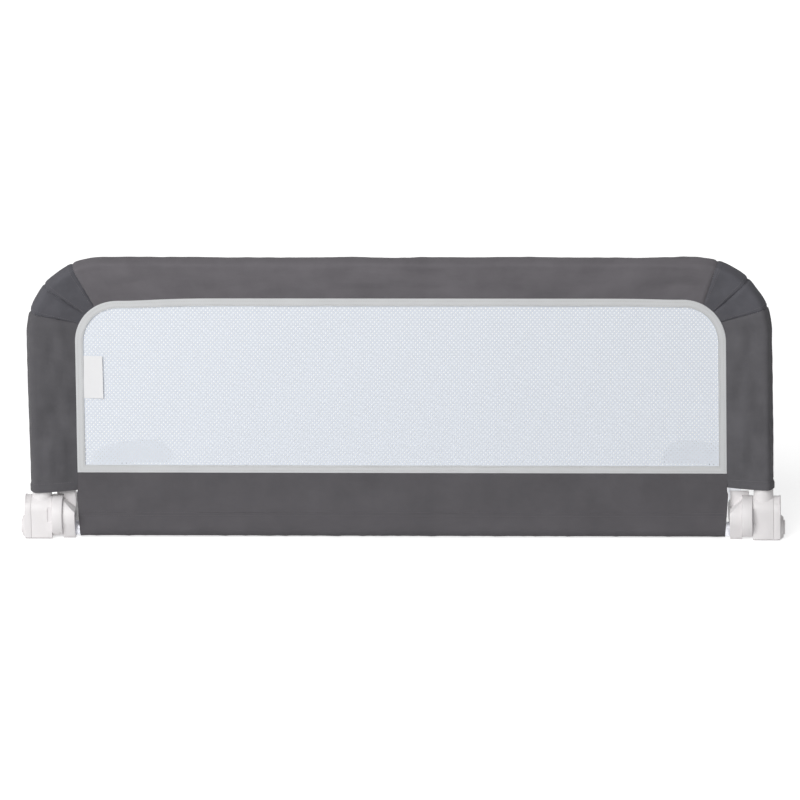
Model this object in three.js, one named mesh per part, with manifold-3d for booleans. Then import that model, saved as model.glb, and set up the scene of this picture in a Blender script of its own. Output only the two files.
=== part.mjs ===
// Folding bed guard rail: a fabric and mesh panel on a bent tube frame that folds about two side hinges,
// on a base of one crossbar and two arms that slide under a mattress.
// Millimetres. X runs across the rail, Y from the front face towards the mattress, Z up from the floor.
// The origin is on the floor, in the middle of the footprint.
import * as THREE from 'three';
import { mergeVertices } from 'three/addons/utils/BufferGeometryUtils.js';
import Module from 'manifold-3d';

const wasm = await Module();
wasm.setup();

// Overall size and clearances
const railWidth = 1060;
const railHeight = 404;
const seatGap = 0.3;
const runningGap = 0.4;
const clothGap = 0.4;
const screwGap = 0.3;
const cutOverrun = 1;
const weldDistance = 0.0001;

// Numbers of flat faces on round pieces
const tubeSides = 16;
const frameSides = 12;
const discSides = 24;
const holeSides = 10;
const screwSides = 8;
const bendSteps = 10;
const coverSides = 8;
const arcSegments = 6;

// Widths of the hinge pieces along the fold axis
const knuckleWidth = 16.7;
const discWidth = 14.6;
const housingWidth = 28.5;
const capWidth = 9;
const bulgeHeight = 4;
const buttonProud = 2;

// Hinge pieces seen from the side
const discRadius = 29;
const discGroundGap = 1.5;
const discEdge = 1.5;
const housingHalfDepth = 20;
const housingGroundGap = 0.8;
const housingChamfer = 3;
const housingWall = 2.4;
const innerWall = 4;
const cavityTop = 12;
const bossRadius = 4;
const bossDepthPlace = 14;
const bossHeightPlace = 7;
const scoopRadius = 12;
const scoopWidth = 6;
const scoopDepth = 2.5;
const scoopHeight = 6;

// Frame tube, which the cover hides
const tubeRadius = 11;
const tubeWall = 1.5;
const bendRadius = 95;
const socketRadius = 13.6;
const tubeSeat = 15.5;
const jointFromBend = 75.45;
const couplerWall = 1.5;
const couplerLength = 120;
const couplerPinRadius = 1.8;
const couplerPinPlace = 25;
const couplerPinShy = 0.6;

// Fabric cover round the tube, and the opening that the mesh fills
const coverLoose = 4;
const coverEdge = 3;
const coverSideWidth = 66;
const coverTopWidth = 58;
const hemAboveDisc = 7.5;
const openingRadius = 48;
const openingAboveHem = 26;
const bindingWidth = 10.5;
const bindingThickness = 3;
const meshThickness = 1.2;
const netPitchAcross = 35;
const netPitchUp = 24.4;
const netStrand = 4.4;
const lowerPanelThickness = 3;
const foldGap = 1.2;
const labelWidth = 25;
const labelHeight = 66;
const labelThickness = 0.6;
const labelDrop = 82;
const coverSeamTurns = [3, 6, 8];

// Crossbar and the hem that wraps it
const crossbarRadius = 10;
const crossbarWall = 1.4;
const crossbarForward = 2;
const crossbarInsert = 15;
const hemThickness = 1;
const hemGroundGap = 1.3;
const hemShy = 0.45;
const hemTaper = 5;
const flapGap = 1;

// Knuckle between disc and crossbar
const knuckleWall = 4.7;
const knuckleTopRadius = 24;
const knuckleShoulder = 14;
const knuckleRootFront = 4;
const knuckleRootBack = 34;
const knuckleRootBelowHem = 1.2;
const knuckleRootWidth = 25.4;
const knuckleRootInset = 0.4;

// Arms and feet
const armRadius = 9.5;
const armWall = 1.4;
const armGroundGap = 0.6;
const armFromKnuckle = 12;
const armToeIn = 16;
const armSocketStart = 8;
const armSocketEnd = 110;
const armTubeStart = 32;
const armTubeShy = 1;
const armSocketWall = 2.4;
const footSleeveWall = 2.5;
const footSleeveLength = 53;
const footBack = 369;
const footDepth = 33;
const footTop = 25;
const footLength = 110;
const footHeelStraight = 8;
const footInnerBend = 45;
const footStem = 6;
const footStemHalf = 9.75;
const footToeRadius = 10;
const footToeRise = 23;
const padThickness = 3;
const padInset = 2.5;

// Pivot bolt, lock plate and release button
const boltRadius = 4;
const boltHeadRadius = 7;
const boltHeadHeight = 4.9;
const washerThickness = 1.5;
const nutRadius = 6.2;
const nutHeight = 6;
const nutPocketRadius = 6.6;
const nutPocketDepth = 8.3;
const plateRadius = 24;
const plateThickness = 2;
const lockRadius = 15.9;
const lockHoleRadius = 3.9;
const lockSlotHalf = 2.5;
const grooveHalf = 4.2;
const grooveDepth = 9.8;
const foldedInTurn = 88;
const foldedDownTurn = 180;
const collarRadius = 3.4;
const collarLength = 2.8;
const collarPast = 0.5;
const neckRadius = 2;
const plungerRadius = 3;
const plungerHoleRadius = 3.8;
const buttonTravel = 5;
const buttonRadius = 9.9;
const flangeRadius = 10.9;
const flangeThickness = 2.6;
const flangeGuide = 12.6;
const plungerInButton = 6.6;
const bulgeBaseRadius = 18.3;
const bulgeTopRadius = 12;
const buttonDome = 1;
const capPocketDepth = 5.5;
const springRadius = 5.2;
const springWire = 0.55;
const springTurns = 5;
const springTurnSteps = 8;
const springWireSides = 5;

// Screws
const screwRadius = 1.5;
const screwHeadRadius = 2.9;
const screwHeadHeight = 1.9;
const capScrewLength = 20;
const counterbore = 2.5;
const uprightScrewDrop = 6.2;
const uprightScrewReach = 7;
const lowHeadHeight = 1;
const lowCounterbore = 1.5;
const lowScrewReach = 6;
const armScrewFromEnd = 20;
const footScrewFromBlade = 29;

// Places across the rail, on the right side
const capOuterX = railWidth / 2 - buttonProud - bulgeHeight;
const capInnerX = capOuterX - capWidth;
const housingOuterX = capInnerX - seatGap;
const housingInnerX = housingOuterX - housingWidth;
const discOuterX = housingInnerX - runningGap;
const discInnerX = discOuterX - discWidth;
const knuckleOuterX = discInnerX - seatGap;
const knuckleInnerX = knuckleOuterX - knuckleWidth;
const uprightX = housingInnerX + housingWidth / 2;

// Places up and down, from the floor
const pivotHeight = discRadius + discGroundGap;
const crossbarHeight = crossbarRadius + seatGap + hemThickness + hemGroundGap;
const armHeight = armRadius + footSleeveWall + armGroundGap;
const coverHemHeight = pivotHeight + discRadius + hemAboveDisc;
const openingBottom = coverHemHeight + openingAboveHem;
const uprightScrewHeight = coverHemHeight - seatGap - uprightScrewDrop;
const coverRadius = tubeRadius + coverLoose;
const tubeTop = railHeight - coverRadius;
const openingTop = railHeight - coverTopWidth;
const openingHalfWidth = uprightX + coverRadius - coverSideWidth;
const bendCentreX = uprightX - bendRadius;
const bendCentreZ = tubeTop - bendRadius;
const openingCentreX = openingHalfWidth - openingRadius;
const openingCentreZ = openingTop - openingRadius;
const netBottom = openingBottom + bindingWidth + clothGap;
const netTop = openingTop - bindingWidth - clothGap;
const netHalfWidth = openingHalfWidth - bindingWidth - clothGap;
const hemReach = Math.hypot(crossbarForward, pivotHeight - crossbarHeight)
  + crossbarRadius + seatGap + hemThickness;
const lowerPanelBottom = pivotHeight + hemReach + foldGap;
const housingFloor = housingGroundGap - pivotHeight;
const archCentre = discRadius - housingHalfDepth;

// Places along and across the arm and foot
const footFront = footBack - footDepth;
const footBladeStart = footFront - footInnerBend - footStem;
const footOuterBend = footBack - footBladeStart - footHeelStraight;
const footSleeveStart = footBladeStart - footSleeveLength;
const footScrewPlace = footBladeStart - footScrewFromBlade;
const armTubeEnd = footBladeStart - armTubeShy;
const armScrewPlace = armSocketEnd - armScrewFromEnd;
const armHingeX = knuckleInnerX + armFromKnuckle;
const armFootX = armHingeX - armToeIn;
const toeIn = Math.atan2(armToeIn, armTubeEnd - armSocketStart);
const footHeelX = armFootX + footStemHalf;
const footToeX = footHeelX - footLength;

// Tube lengths and the reach of the crossbar hem
const topTubeLength = 2 * (uprightX - bendRadius - jointFromBend);
const knuckleFootRadius = crossbarRadius + seatGap + knuckleWall;
const hemHalfWidth = openingHalfWidth - hemShy;

// Depth of the footprint, from the front of the discs to the back of the feet
const footprintCentre = (footBack - discRadius) / 2;

function finish(color, roughness, metalness) {
  return () => new THREE.MeshStandardMaterial({ color, roughness, metalness });
}
const whitePlastic = finish(0xeeebec, 0.45, 0);
const greyCloth = finish(0x656266, 0.9, 0);
const tapeCloth = finish(0xd0cfcc, 0.85, 0);
const netCloth = finish(0xdee1e9, 0.8, 0);
const labelCloth = finish(0xf4f4f6, 0.7, 0);
const platedSteel = finish(0xdcdde6, 0.3, 0.85);
const darkSteel = finish(0x8f9094, 0.4, 0.9);
const darkRubber = finish(0x333335, 0.8, 0);

// Closed meshes to solids and back
function solidOf(geometry) {
  const bare = geometry.clone();
  bare.deleteAttribute('normal');
  bare.deleteAttribute('uv');
  const welded = mergeVertices(bare, weldDistance);
  const index = welded.index.array;
  const kept = [];
  for (let i = 0; i < index.length; i += 3) {
    const [a, b, c] = [index[i], index[i + 1], index[i + 2]];
    if (a !== b && b !== c && c !== a) kept.push(a, b, c);
  }
  return new wasm.Manifold(new wasm.Mesh({
    numProp: 3,
    vertProperties: new Float32Array(welded.attributes.position.array),
    triVerts: new Uint32Array(kept),
  }));
}

function geometryOf(solid) {
  const mesh = solid.getMesh();
  const geometry = new THREE.BufferGeometry();
  geometry.setAttribute('position', new THREE.BufferAttribute(new Float32Array(mesh.vertProperties), 3));
  geometry.setIndex(new THREE.BufferAttribute(new Uint32Array(mesh.triVerts), 1));
  geometry.computeVertexNormals();
  return geometry;
}

function cut(body, ...tools) {
  let solid = solidOf(body);
  for (const tool of tools) solid = solid.subtract(solidOf(tool));
  return geometryOf(solid);
}

function join(body, ...others) {
  let solid = solidOf(body);
  for (const other of others) solid = solid.add(solidOf(other));
  return geometryOf(solid);
}

function overlap(body, other) {
  return geometryOf(solidOf(body).intersect(solidOf(other)));
}

// Placing and making simple bodies
function at(geometry, x, y, z) {
  return geometry.clone().translate(x, y, z);
}

function rod(axis, radius, length, sides = holeSides) {
  const geometry = new THREE.CylinderGeometry(radius, radius, length, sides);
  geometry.translate(0, length / 2, 0);
  if (axis === 'x') geometry.rotateZ(-Math.PI / 2);
  if (axis === 'z') geometry.rotateX(Math.PI / 2);
  return geometry;
}

function block(width, depth, height) {
  return new THREE.BoxGeometry(width, depth, height);
}

function extruded(shape, depth, curveSegments = arcSegments) {
  return new THREE.ExtrudeGeometry(shape, { depth, bevelEnabled: false, curveSegments });
}

// A side profile, drawn in Y and Z, made solid from x = 0 along X
function slabX(shape, width) {
  const turn = new THREE.Matrix4().makeBasis(
    new THREE.Vector3(0, 1, 0),
    new THREE.Vector3(0, 0, 1),
    new THREE.Vector3(1, 0, 0),
  );
  return extruded(shape, width).applyMatrix4(turn);
}

// A front outline, drawn in X and Z, made solid with y = 0 at mid-thickness
function slabY(shape, thickness) {
  return extruded(shape, thickness).rotateX(Math.PI / 2).translate(0, thickness / 2, 0);
}

function ringShape(outer, inner) {
  const shape = new THREE.Shape().absarc(0, 0, outer, 0, 2 * Math.PI, false);
  shape.holes.push(new THREE.Path().absarc(0, 0, inner, 0, 2 * Math.PI, true));
  return shape;
}

// A straight tube along X or Y from the origin
function straightTube(axis, outer, wall, length, sides = tubeSides) {
  const geometry = extruded(ringShape(outer, outer - wall), length, sides / 2);
  if (axis === 'x') geometry.rotateY(Math.PI / 2);
  if (axis === 'y') geometry.rotateX(-Math.PI / 2);
  return geometry;
}

// A turned body about the X axis, from a closed profile of [radius, place along X]
function turned(profile, sides = tubeSides) {
  const points = profile.map(([radius, place]) => new THREE.Vector2(radius, place));
  return new THREE.LatheGeometry(points, sides).rotateZ(-Math.PI / 2);
}

function piece(name, geometry, finishOf, x = 0, y = 0, z = 0) {
  const mesh = new THREE.Mesh(geometry, finishOf());
  mesh.name = name;
  mesh.position.set(x, y, z);
  return mesh;
}

// Paths that are sampled at chosen stations, each a place and a direction
class StationPath extends THREE.Curve {
  constructor(stations) {
    super();
    this.stations = stations;
  }

  stationAt(t) {
    return this.stations[Math.round(t * (this.stations.length - 1))];
  }

  getPoint(t) {
    return this.stationAt(t).place.clone();
  }

  getPointAt(u) {
    return this.getPoint(u);
  }

  getTangentAt(u) {
    return this.stationAt(u).direction.clone();
  }
}

function bendStation(step, way) {
  const turn = (step / bendSteps) * (Math.PI / 2);
  const place = new THREE.Vector3(
    way * (bendCentreX + bendRadius * Math.sin(turn)),
    0,
    bendCentreZ + bendRadius * Math.cos(turn),
  );
  const direction = new THREE.Vector3(-Math.cos(turn), 0, way * Math.sin(turn));
  return { place, direction };
}

function sidePath(bottom) {
  const up = new THREE.Vector3(0, 0, 1);
  const inward = new THREE.Vector3(-1, 0, 0);
  const stations = [{ place: new THREE.Vector3(uprightX, 0, bottom), direction: up }];
  for (let step = bendSteps; step >= 0; step -= 1) stations.push(bendStation(step, 1));
  stations.push({ place: new THREE.Vector3(topTubeLength / 2 + seatGap, 0, tubeTop), direction: inward });
  return new StationPath(stations);
}

// The stretch of the tube that the top cover goes over, from right to left
function topPath(lastStep) {
  const stations = [];
  for (let step = lastStep; step >= 0; step -= 1) stations.push(bendStation(step, 1));
  for (let step = 0; step <= lastStep; step += 1) stations.push(bendStation(step, -1));
  return new StationPath(stations);
}

function swept(shape, path) {
  return new THREE.ExtrudeGeometry(shape, {
    steps: path.stations.length - 1,
    extrudePath: path,
    curveSegments: frameSides / 2,
  });
}

function discShape(radius) {
  return new THREE.Shape().absarc(0, 0, radius, 0, 2 * Math.PI, false);
}

// Fabric cover: one closed loop of points for each station, joined from station to station
function coverSection(tubePlace, outward, seamPlace) {
  const width = tubePlace.distanceTo(seamPlace);
  const half = coverEdge / 2;
  const wrap = Math.PI / 2 + Math.asin((coverRadius - half) / width);
  const depth = new THREE.Vector3(0, 1, 0);
  const loop = [seamPlace.clone().addScaledVector(depth, -half)];
  for (let i = 0; i <= coverSides; i += 1) {
    const turn = wrap * ((2 * i) / coverSides - 1);
    loop.push(tubePlace.clone()
      .addScaledVector(outward, coverRadius * Math.cos(turn))
      .addScaledVector(depth, coverRadius * Math.sin(turn)));
  }
  loop.push(seamPlace.clone().addScaledVector(depth, half));
  return loop;
}

function cornerSection(step, way, nudge) {
  const turn = (step / bendSteps) * (Math.PI / 2);
  const outward = new THREE.Vector3(way * Math.sin(turn), 0, Math.cos(turn));
  const along = new THREE.Vector3(way * Math.cos(turn), 0, -Math.sin(turn));
  const tubePlace = new THREE.Vector3(way * bendCentreX, 0, bendCentreZ)
    .addScaledVector(outward, bendRadius)
    .addScaledVector(along, nudge);
  const seamPlace = new THREE.Vector3(way * openingCentreX, 0, openingCentreZ)
    .addScaledVector(outward, openingRadius)
    .addScaledVector(along, nudge);
  return coverSection(tubePlace, outward, seamPlace);
}

function hemSection() {
  const outward = new THREE.Vector3(1, 0, 0);
  const tubePlace = new THREE.Vector3(uprightX, 0, coverHemHeight);
  const seamPlace = new THREE.Vector3(openingHalfWidth, 0, coverHemHeight);
  return coverSection(tubePlace, outward, seamPlace);
}

function lofted(sections) {
  const count = sections[0].length;
  const positions = sections.flat().flatMap((point) => point.toArray());
  const index = [];
  for (let s = 0; s < sections.length - 1; s += 1) {
    for (let i = 0; i < count; i += 1) {
      const next = (i + 1) % count;
      const [a, b] = [s * count + i, s * count + next];
      index.push(a, a + count, b, b, a + count, b + count);
    }
  }
  const last = (sections.length - 1) * count;
  for (let i = 1; i < count - 1; i += 1) {
    index.push(0, i, i + 1);
    index.push(last, last + i + 1, last + i);
  }
  const geometry = new THREE.BufferGeometry();
  geometry.setAttribute('position', new THREE.Float32BufferAttribute(positions, 3));
  geometry.setIndex(index);
  return geometry;
}

// Right side covers, from seam to seam round the corner
function cornerCover(firstStep, lastStep, path) {
  const sections = [];
  for (let step = firstStep; step <= lastStep; step += 1) {
    const nudge = step === firstStep ? clothGap / 2 : step === lastStep ? -clothGap / 2 : 0;
    sections.push(cornerSection(step, 1, nudge));
  }
  return cut(lofted(sections), swept(discShape(tubeRadius + clothGap), path));
}

function sideCover(path) {
  const sections = [];
  const firstStep = coverSeamTurns[2];
  for (let step = firstStep; step <= bendSteps; step += 1) {
    sections.push(cornerSection(step, 1, step === firstStep ? clothGap / 2 : 0));
  }
  sections.push(hemSection());
  return cut(lofted(sections), swept(discShape(tubeRadius + clothGap), path));
}

function topCover() {
  const sections = [];
  const lastStep = coverSeamTurns[0];
  for (let step = lastStep; step >= 0; step -= 1) {
    sections.push(cornerSection(step, -1, step === lastStep ? -clothGap / 2 : 0));
  }
  for (let step = 0; step <= lastStep; step += 1) {
    sections.push(cornerSection(step, 1, step === lastStep ? -clothGap / 2 : 0));
  }
  return cut(lofted(sections), swept(discShape(tubeRadius + clothGap), topPath(lastStep + 1)));
}

// Outline of the opening inside the cover, drawn in by an inset
function openingShape(inset) {
  const half = openingHalfWidth - inset;
  const top = openingTop - inset;
  const bottom = openingBottom + inset;
  const round = openingRadius - inset;
  const shape = new THREE.Shape();
  shape.moveTo(-half, bottom);
  shape.lineTo(half, bottom);
  shape.lineTo(half, top - round);
  shape.absarc(half - round, top - round, round, 0, Math.PI / 2, false);
  shape.lineTo(-half + round, top);
  shape.absarc(-half + round, top - round, round, Math.PI / 2, Math.PI, false);
  return shape;
}

function binding() {
  const shape = openingShape(clothGap);
  shape.holes.push(openingShape(bindingWidth));
  return slabY(shape, bindingThickness);
}

// Diamond gaps in staggered rows, left out where a corner or an edge is too near
function netGaps() {
  const halfAcross = (netPitchAcross - netStrand) / 2;
  const halfUp = netPitchUp - netStrand / 2;
  const round = openingRadius - bindingWidth;
  const gaps = [];
  let row = 0;
  for (let z = netBottom + netPitchUp + netStrand; z + halfUp < netTop; z += netPitchUp) {
    const shift = row % 2 === 0 ? 0 : netPitchAcross / 2;
    const reach = Math.floor((netHalfWidth - netStrand - halfAcross - shift) / netPitchAcross);
    for (let column = -reach - (shift > 0 ? 1 : 0); column <= reach; column += 1) {
      const x = column * netPitchAcross + shift;
      const cornerX = Math.abs(x) + halfAcross - (netHalfWidth - round);
      const cornerZ = z + halfUp - (netTop - round);
      if (cornerX > 0 && cornerZ > 0 && Math.hypot(cornerX, cornerZ) > round) continue;
      gaps.push(diamond(x, z, halfAcross, halfUp));
    }
    row += 1;
  }
  return gaps;
}

function diamond(x, z, halfAcross, halfUp) {
  const path = new THREE.Path();
  path.moveTo(x - halfAcross, z);
  path.lineTo(x, z + halfUp);
  path.lineTo(x + halfAcross, z);
  path.lineTo(x, z - halfUp);
  path.closePath();
  return path;
}

function meshPanel() {
  const shape = openingShape(bindingWidth + clothGap);
  shape.holes.push(...netGaps());
  return slabY(shape, meshThickness);
}

function lowerPanel() {
  const half = openingHalfWidth - clothGap;
  return block(2 * half, lowerPanelThickness, openingBottom - lowerPanelBottom);
}

// Hem round the crossbar with its flap up to the lower panel, as a profile in Y and Z
function crossbarHem() {
  const outer = crossbarRadius + seatGap + hemThickness;
  const flap = lowerPanelThickness / 2;
  const flapTop = lowerPanelBottom - flapGap - crossbarHeight;
  const lean = Math.asin((outer - flap) / flapTop);
  const shape = new THREE.Shape();
  shape.absarc(0, 0, outer, Math.PI - lean, 2 * Math.PI + lean, false);
  shape.lineTo(crossbarForward + flap, flapTop);
  shape.lineTo(crossbarForward - flap, flapTop);
  const wrap = at(slabX(shape, 2 * hemHalfWidth), -hemHalfWidth, 0, 0);
  const bore = rod('x', crossbarRadius + seatGap, 2 * (hemHalfWidth + cutOverrun), tubeSides);
  const drift = (cutOverrun * hemTaper) / (flapTop + outer);
  const wedge = new THREE.Shape();
  wedge.moveTo(hemHalfWidth + drift, flapTop + cutOverrun);
  wedge.lineTo(hemHalfWidth - hemTaper - drift, -outer - cutOverrun);
  wedge.lineTo(hemHalfWidth + cutOverrun, -outer - cutOverrun);
  wedge.lineTo(hemHalfWidth + cutOverrun, flapTop + cutOverrun);
  const end = slabY(wedge, 2 * (outer + crossbarForward + flap));
  const otherEnd = end.clone().rotateZ(Math.PI);
  return cut(wrap, at(bore, -hemHalfWidth - cutOverrun, 0, 0), end, otherEnd);
}

// Housing and cap share this side profile, with z = 0 on the fold axis
function housingProfile(inset, top) {
  const half = housingHalfDepth - inset;
  const floor = housingFloor + inset;
  const shape = new THREE.Shape();
  shape.moveTo(-half, floor + housingChamfer);
  shape.lineTo(-half + housingChamfer, floor);
  shape.lineTo(half - housingChamfer, floor);
  shape.lineTo(half, floor + housingChamfer);
  if (top === undefined) {
    shape.lineTo(half, archCentre);
    shape.absarc(0, archCentre, half, 0, Math.PI, false);
  } else {
    shape.lineTo(half, top);
    shape.lineTo(-half, top);
  }
  return shape;
}

function hingeHousing() {
  const centre = housingWidth / 2;
  const socketHeight = coverHemHeight - seatGap - pivotHeight - archCentre;
  const socket = at(rod('z', socketRadius, socketHeight, tubeSides), centre, 0, archCentre);
  const tubeBore = at(rod('z', tubeRadius + seatGap, railHeight, tubeSides), centre, 0, tubeSeat);
  const boss = at(rod('x', bossRadius, 2 * housingWidth), 0, bossDepthPlace, bossHeightPlace);
  const cavityBody = slabX(housingProfile(housingWall, cavityTop), housingWidth);
  const cavity = cut(at(cavityBody, innerWall, 0, 0), boss);
  const boltHole = at(rod('x', boltRadius + seatGap, housingWidth), -cutOverrun, 0, 0);
  const plungerHole = at(rod('x', plungerHoleRadius, housingWidth), -cutOverrun, 0, -lockRadius);
  const capScrewHole = at(
    rod('x', screwRadius + screwGap, capScrewLength),
    housingWidth - capScrewLength + cutOverrun,
    bossDepthPlace,
    bossHeightPlace,
  );
  const screwHole = at(
    rod('y', screwRadius + screwGap, housingHalfDepth),
    centre,
    0,
    uprightScrewHeight - pivotHeight,
  );
  const scoopRound = rod('y', scoopRadius, scoopDepth + cutOverrun, tubeSides);
  const scoop = at(
    overlap(scoopRound, block(2 * scoopWidth, housingWidth, housingWidth)),
    0,
    -housingHalfDepth - cutOverrun,
    scoopHeight,
  );
  const body = join(slabX(housingProfile(0), housingWidth), socket);
  return cut(body, tubeBore, cavity, boltHole, plungerHole, capScrewHole, screwHole, scoop);
}

function outerCap() {
  const full = slabX(housingProfile(0), capWidth + bulgeHeight);
  const cone = turned([
    [0, 0],
    [bulgeBaseRadius, 0],
    [bulgeBaseRadius, capWidth],
    [bulgeTopRadius, capWidth + bulgeHeight],
    [bulgeTopRadius, capWidth + 3 * bulgeHeight],
    [0, capWidth + 3 * bulgeHeight],
  ], discSides);
  const wide = 3 * housingHalfDepth;
  const shoulder = cut(
    at(block(2 * bulgeHeight, wide, wide), capWidth + bulgeHeight, 0, 0),
    at(cone, 0, 0, -lockRadius),
  );
  const reach = capWidth + bulgeHeight + 2 * cutOverrun;
  const guide = at(rod('x', flangeGuide, reach, discSides), -cutOverrun, 0, -lockRadius);
  const boss = at(rod('x', bossRadius, reach), -cutOverrun, bossDepthPlace, bossHeightPlace);
  const pocketBody = slabX(housingProfile(housingWall), capPocketDepth + cutOverrun / 2);
  const pocket = cut(at(pocketBody, -cutOverrun / 2, 0, 0), guide, boss);
  const buttonHole = at(rod('x', buttonRadius + seatGap, reach, discSides), -cutOverrun, 0, -lockRadius);
  const flangeRoom = cutOverrun + flangeThickness + 2 * seatGap;
  const flangeBody = rod('x', flangeRadius + seatGap, flangeRoom, discSides);
  const flangeHole = at(flangeBody, -cutOverrun, 0, -lockRadius);
  const screwBody = rod('x', screwRadius + screwGap, reach);
  const screwHole = at(screwBody, -cutOverrun, bossDepthPlace, bossHeightPlace);
  const headHole = at(
    rod('x', screwHeadRadius + screwGap, reach),
    capWidth - counterbore,
    bossDepthPlace,
    bossHeightPlace,
  );
  return cut(full, shoulder, pocket, buttonHole, flangeHole, screwHole, headHole);
}

// A cap head screw along X, head outwards, with x = 0 under its head
function capScrew() {
  return turned([
    [0, -capScrewLength + 2 * cutOverrun],
    [screwRadius, -capScrewLength + 2 * cutOverrun],
    [screwRadius, 0],
    [screwHeadRadius, 0],
    [screwHeadRadius, screwHeadHeight],
    [0, screwHeadHeight],
  ], screwSides);
}

function hingeDisc() {
  const bore = boltRadius + seatGap;
  const seat = discWidth - plateThickness - seatGap;
  const recess = plateRadius + seatGap;
  const floor = seat - grooveDepth;
  return turned([
    [bore, 0],
    [discRadius - discEdge, 0],
    [discRadius, discEdge],
    [discRadius, discWidth - discEdge],
    [discRadius - discEdge, discWidth],
    [recess, discWidth],
    [recess, seat],
    [lockRadius + grooveHalf, seat],
    [lockRadius + grooveHalf, floor],
    [lockRadius - grooveHalf, floor],
    [lockRadius - grooveHalf, seat],
    [bore, seat],
    [bore, 0],
  ], discSides);
}

// Steel plate with an arc slot for the plunger's neck, widened to a hole where the rail locks
function lockPlate() {
  const first = THREE.MathUtils.degToRad(-90 - foldedInTurn);
  const upright = THREE.MathUtils.degToRad(-90);
  const last = THREE.MathUtils.degToRad(foldedDownTurn - 90);
  const slot = new THREE.Shape();
  slot.absarc(0, 0, lockRadius + lockSlotHalf, first, last, false);
  slot.absarc(0, 0, lockRadius - lockSlotHalf, last, first, true);
  const reach = plateThickness + 2 * cutOverrun;
  const slotBody = at(slabX(slot, reach), -cutOverrun, 0, 0);
  const holes = [first, upright, last].map((turn) => at(
    rod('x', lockHoleRadius, reach),
    -cutOverrun,
    lockRadius * Math.cos(turn),
    lockRadius * Math.sin(turn),
  ));
  const bore = at(rod('x', boltRadius + seatGap, reach), -cutOverrun, 0, 0);
  return cut(rod('x', plateRadius, plateThickness, discSides), slotBody, bore, ...holes);
}

// Bolt along X with x = 0 under its head, washer and hexagonal nut
function pivotBolt(shank) {
  return turned([
    [0, -shank],
    [boltRadius, -shank],
    [boltRadius, 0],
    [boltHeadRadius, 0],
    [boltHeadRadius, boltHeadHeight],
    [0, boltHeadHeight],
  ]);
}

function pivotWasher() {
  return slabX(ringShape(boltHeadRadius, boltRadius + seatGap), washerThickness);
}

function pivotNut() {
  const hexagon = rod('x', nutRadius, nutHeight, 6);
  const bore = at(rod('x', boltRadius + seatGap, nutHeight + 2 * cutOverrun), -cutOverrun, 0, 0);
  return cut(hexagon, bore);
}

// Plunger: collar past the lock plate, neck through the plate's slot, body in the button
function plungerPlaces() {
  const plateInner = discWidth - plateThickness;
  const collarEnd = plateInner - collarPast;
  const wallInner = discWidth + runningGap + innerWall;
  const flangeInner = discWidth + runningGap + housingWidth + 2 * seatGap;
  return {
    tip: collarEnd - collarLength,
    collarEnd,
    shoulder: wallInner + 2 * runningGap + 2 * seatGap,
    flangeInner,
    end: flangeInner + plungerInButton,
  };
}

function lockPlunger() {
  const places = plungerPlaces();
  return turned([
    [0, places.tip],
    [collarRadius, places.tip],
    [collarRadius, places.collarEnd],
    [neckRadius, places.collarEnd],
    [neckRadius, places.shoulder],
    [plungerRadius, places.shoulder],
    [plungerRadius, places.end],
    [0, places.end],
  ], holeSides);
}

// Round push button with its flange, and x = 0 at the flange's inner face
function releaseButton() {
  const length = railWidth / 2 - discInnerX - plungerPlaces().flangeInner;
  const bore = plungerRadius + seatGap;
  const boreEnd = plungerInButton + seatGap;
  return turned([
    [bore, 0],
    [flangeRadius, 0],
    [flangeRadius, flangeThickness],
    [buttonRadius, flangeThickness],
    [buttonRadius, length - buttonDome],
    [buttonRadius - buttonDome, length - buttonDome / 2],
    [buttonRadius / 2, length],
    [0, length],
    [0, boreEnd],
    [bore, boreEnd],
    [bore, 0],
  ], discSides);
}

class Coil extends THREE.Curve {
  constructor(radius, turns, length) {
    super();
    Object.assign(this, { radius, turns, length });
  }

  getPoint(t) {
    const turn = 2 * Math.PI * this.turns * t;
    return new THREE.Vector3(this.length * t, this.radius * Math.cos(turn), this.radius * Math.sin(turn));
  }
}

// Least gap between the curls of a coil, measured on points along its wire
function leastGap(coil, wire) {
  const points = coil.getPoints(springTurnSteps * coil.turns);
  let least = Infinity;
  points.forEach((point, i) => {
    for (const other of points.slice(i + springTurnSteps / 2)) {
      least = Math.min(least, point.distanceTo(other));
    }
  });
  return least - 2 * wire;
}

// Return spring, drawn at its pressed length so that the button can travel
function buttonSpring() {
  const places = plungerPlaces();
  const wallInner = discWidth + runningGap + innerWall + seatGap;
  const room = places.flangeInner - buttonTravel - seatGap - wallInner;
  const coil = new Coil(springRadius, springTurns, room - 2 * springWire);
  const section = new THREE.Shape();
  for (let i = 0; i < springWireSides; i += 1) {
    const turn = (2 * Math.PI * i) / springWireSides;
    const [u, v] = [springWire * Math.cos(turn), springWire * Math.sin(turn)];
    if (i === 0) section.moveTo(u, v);
    else section.lineTo(u, v);
  }
  section.closePath();
  console.log(`least gap of the button spring to itself: ${leastGap(coil, springWire).toFixed(2)} mm`);
  const steps = springTurnSteps * springTurns;
  const spring = new THREE.ExtrudeGeometry(section, { steps, extrudePath: coil });
  return spring.translate(springWire, 0, 0);
}

// Arms are drawn along Y from the hinge end, with z = 0 on the tube's axis, and turned inwards as one
function armMatrix() {
  const place = new THREE.Matrix4().makeTranslation(armHingeX, armSocketStart, armHeight);
  return place.multiply(new THREE.Matrix4().makeRotationZ(toeIn));
}

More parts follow.
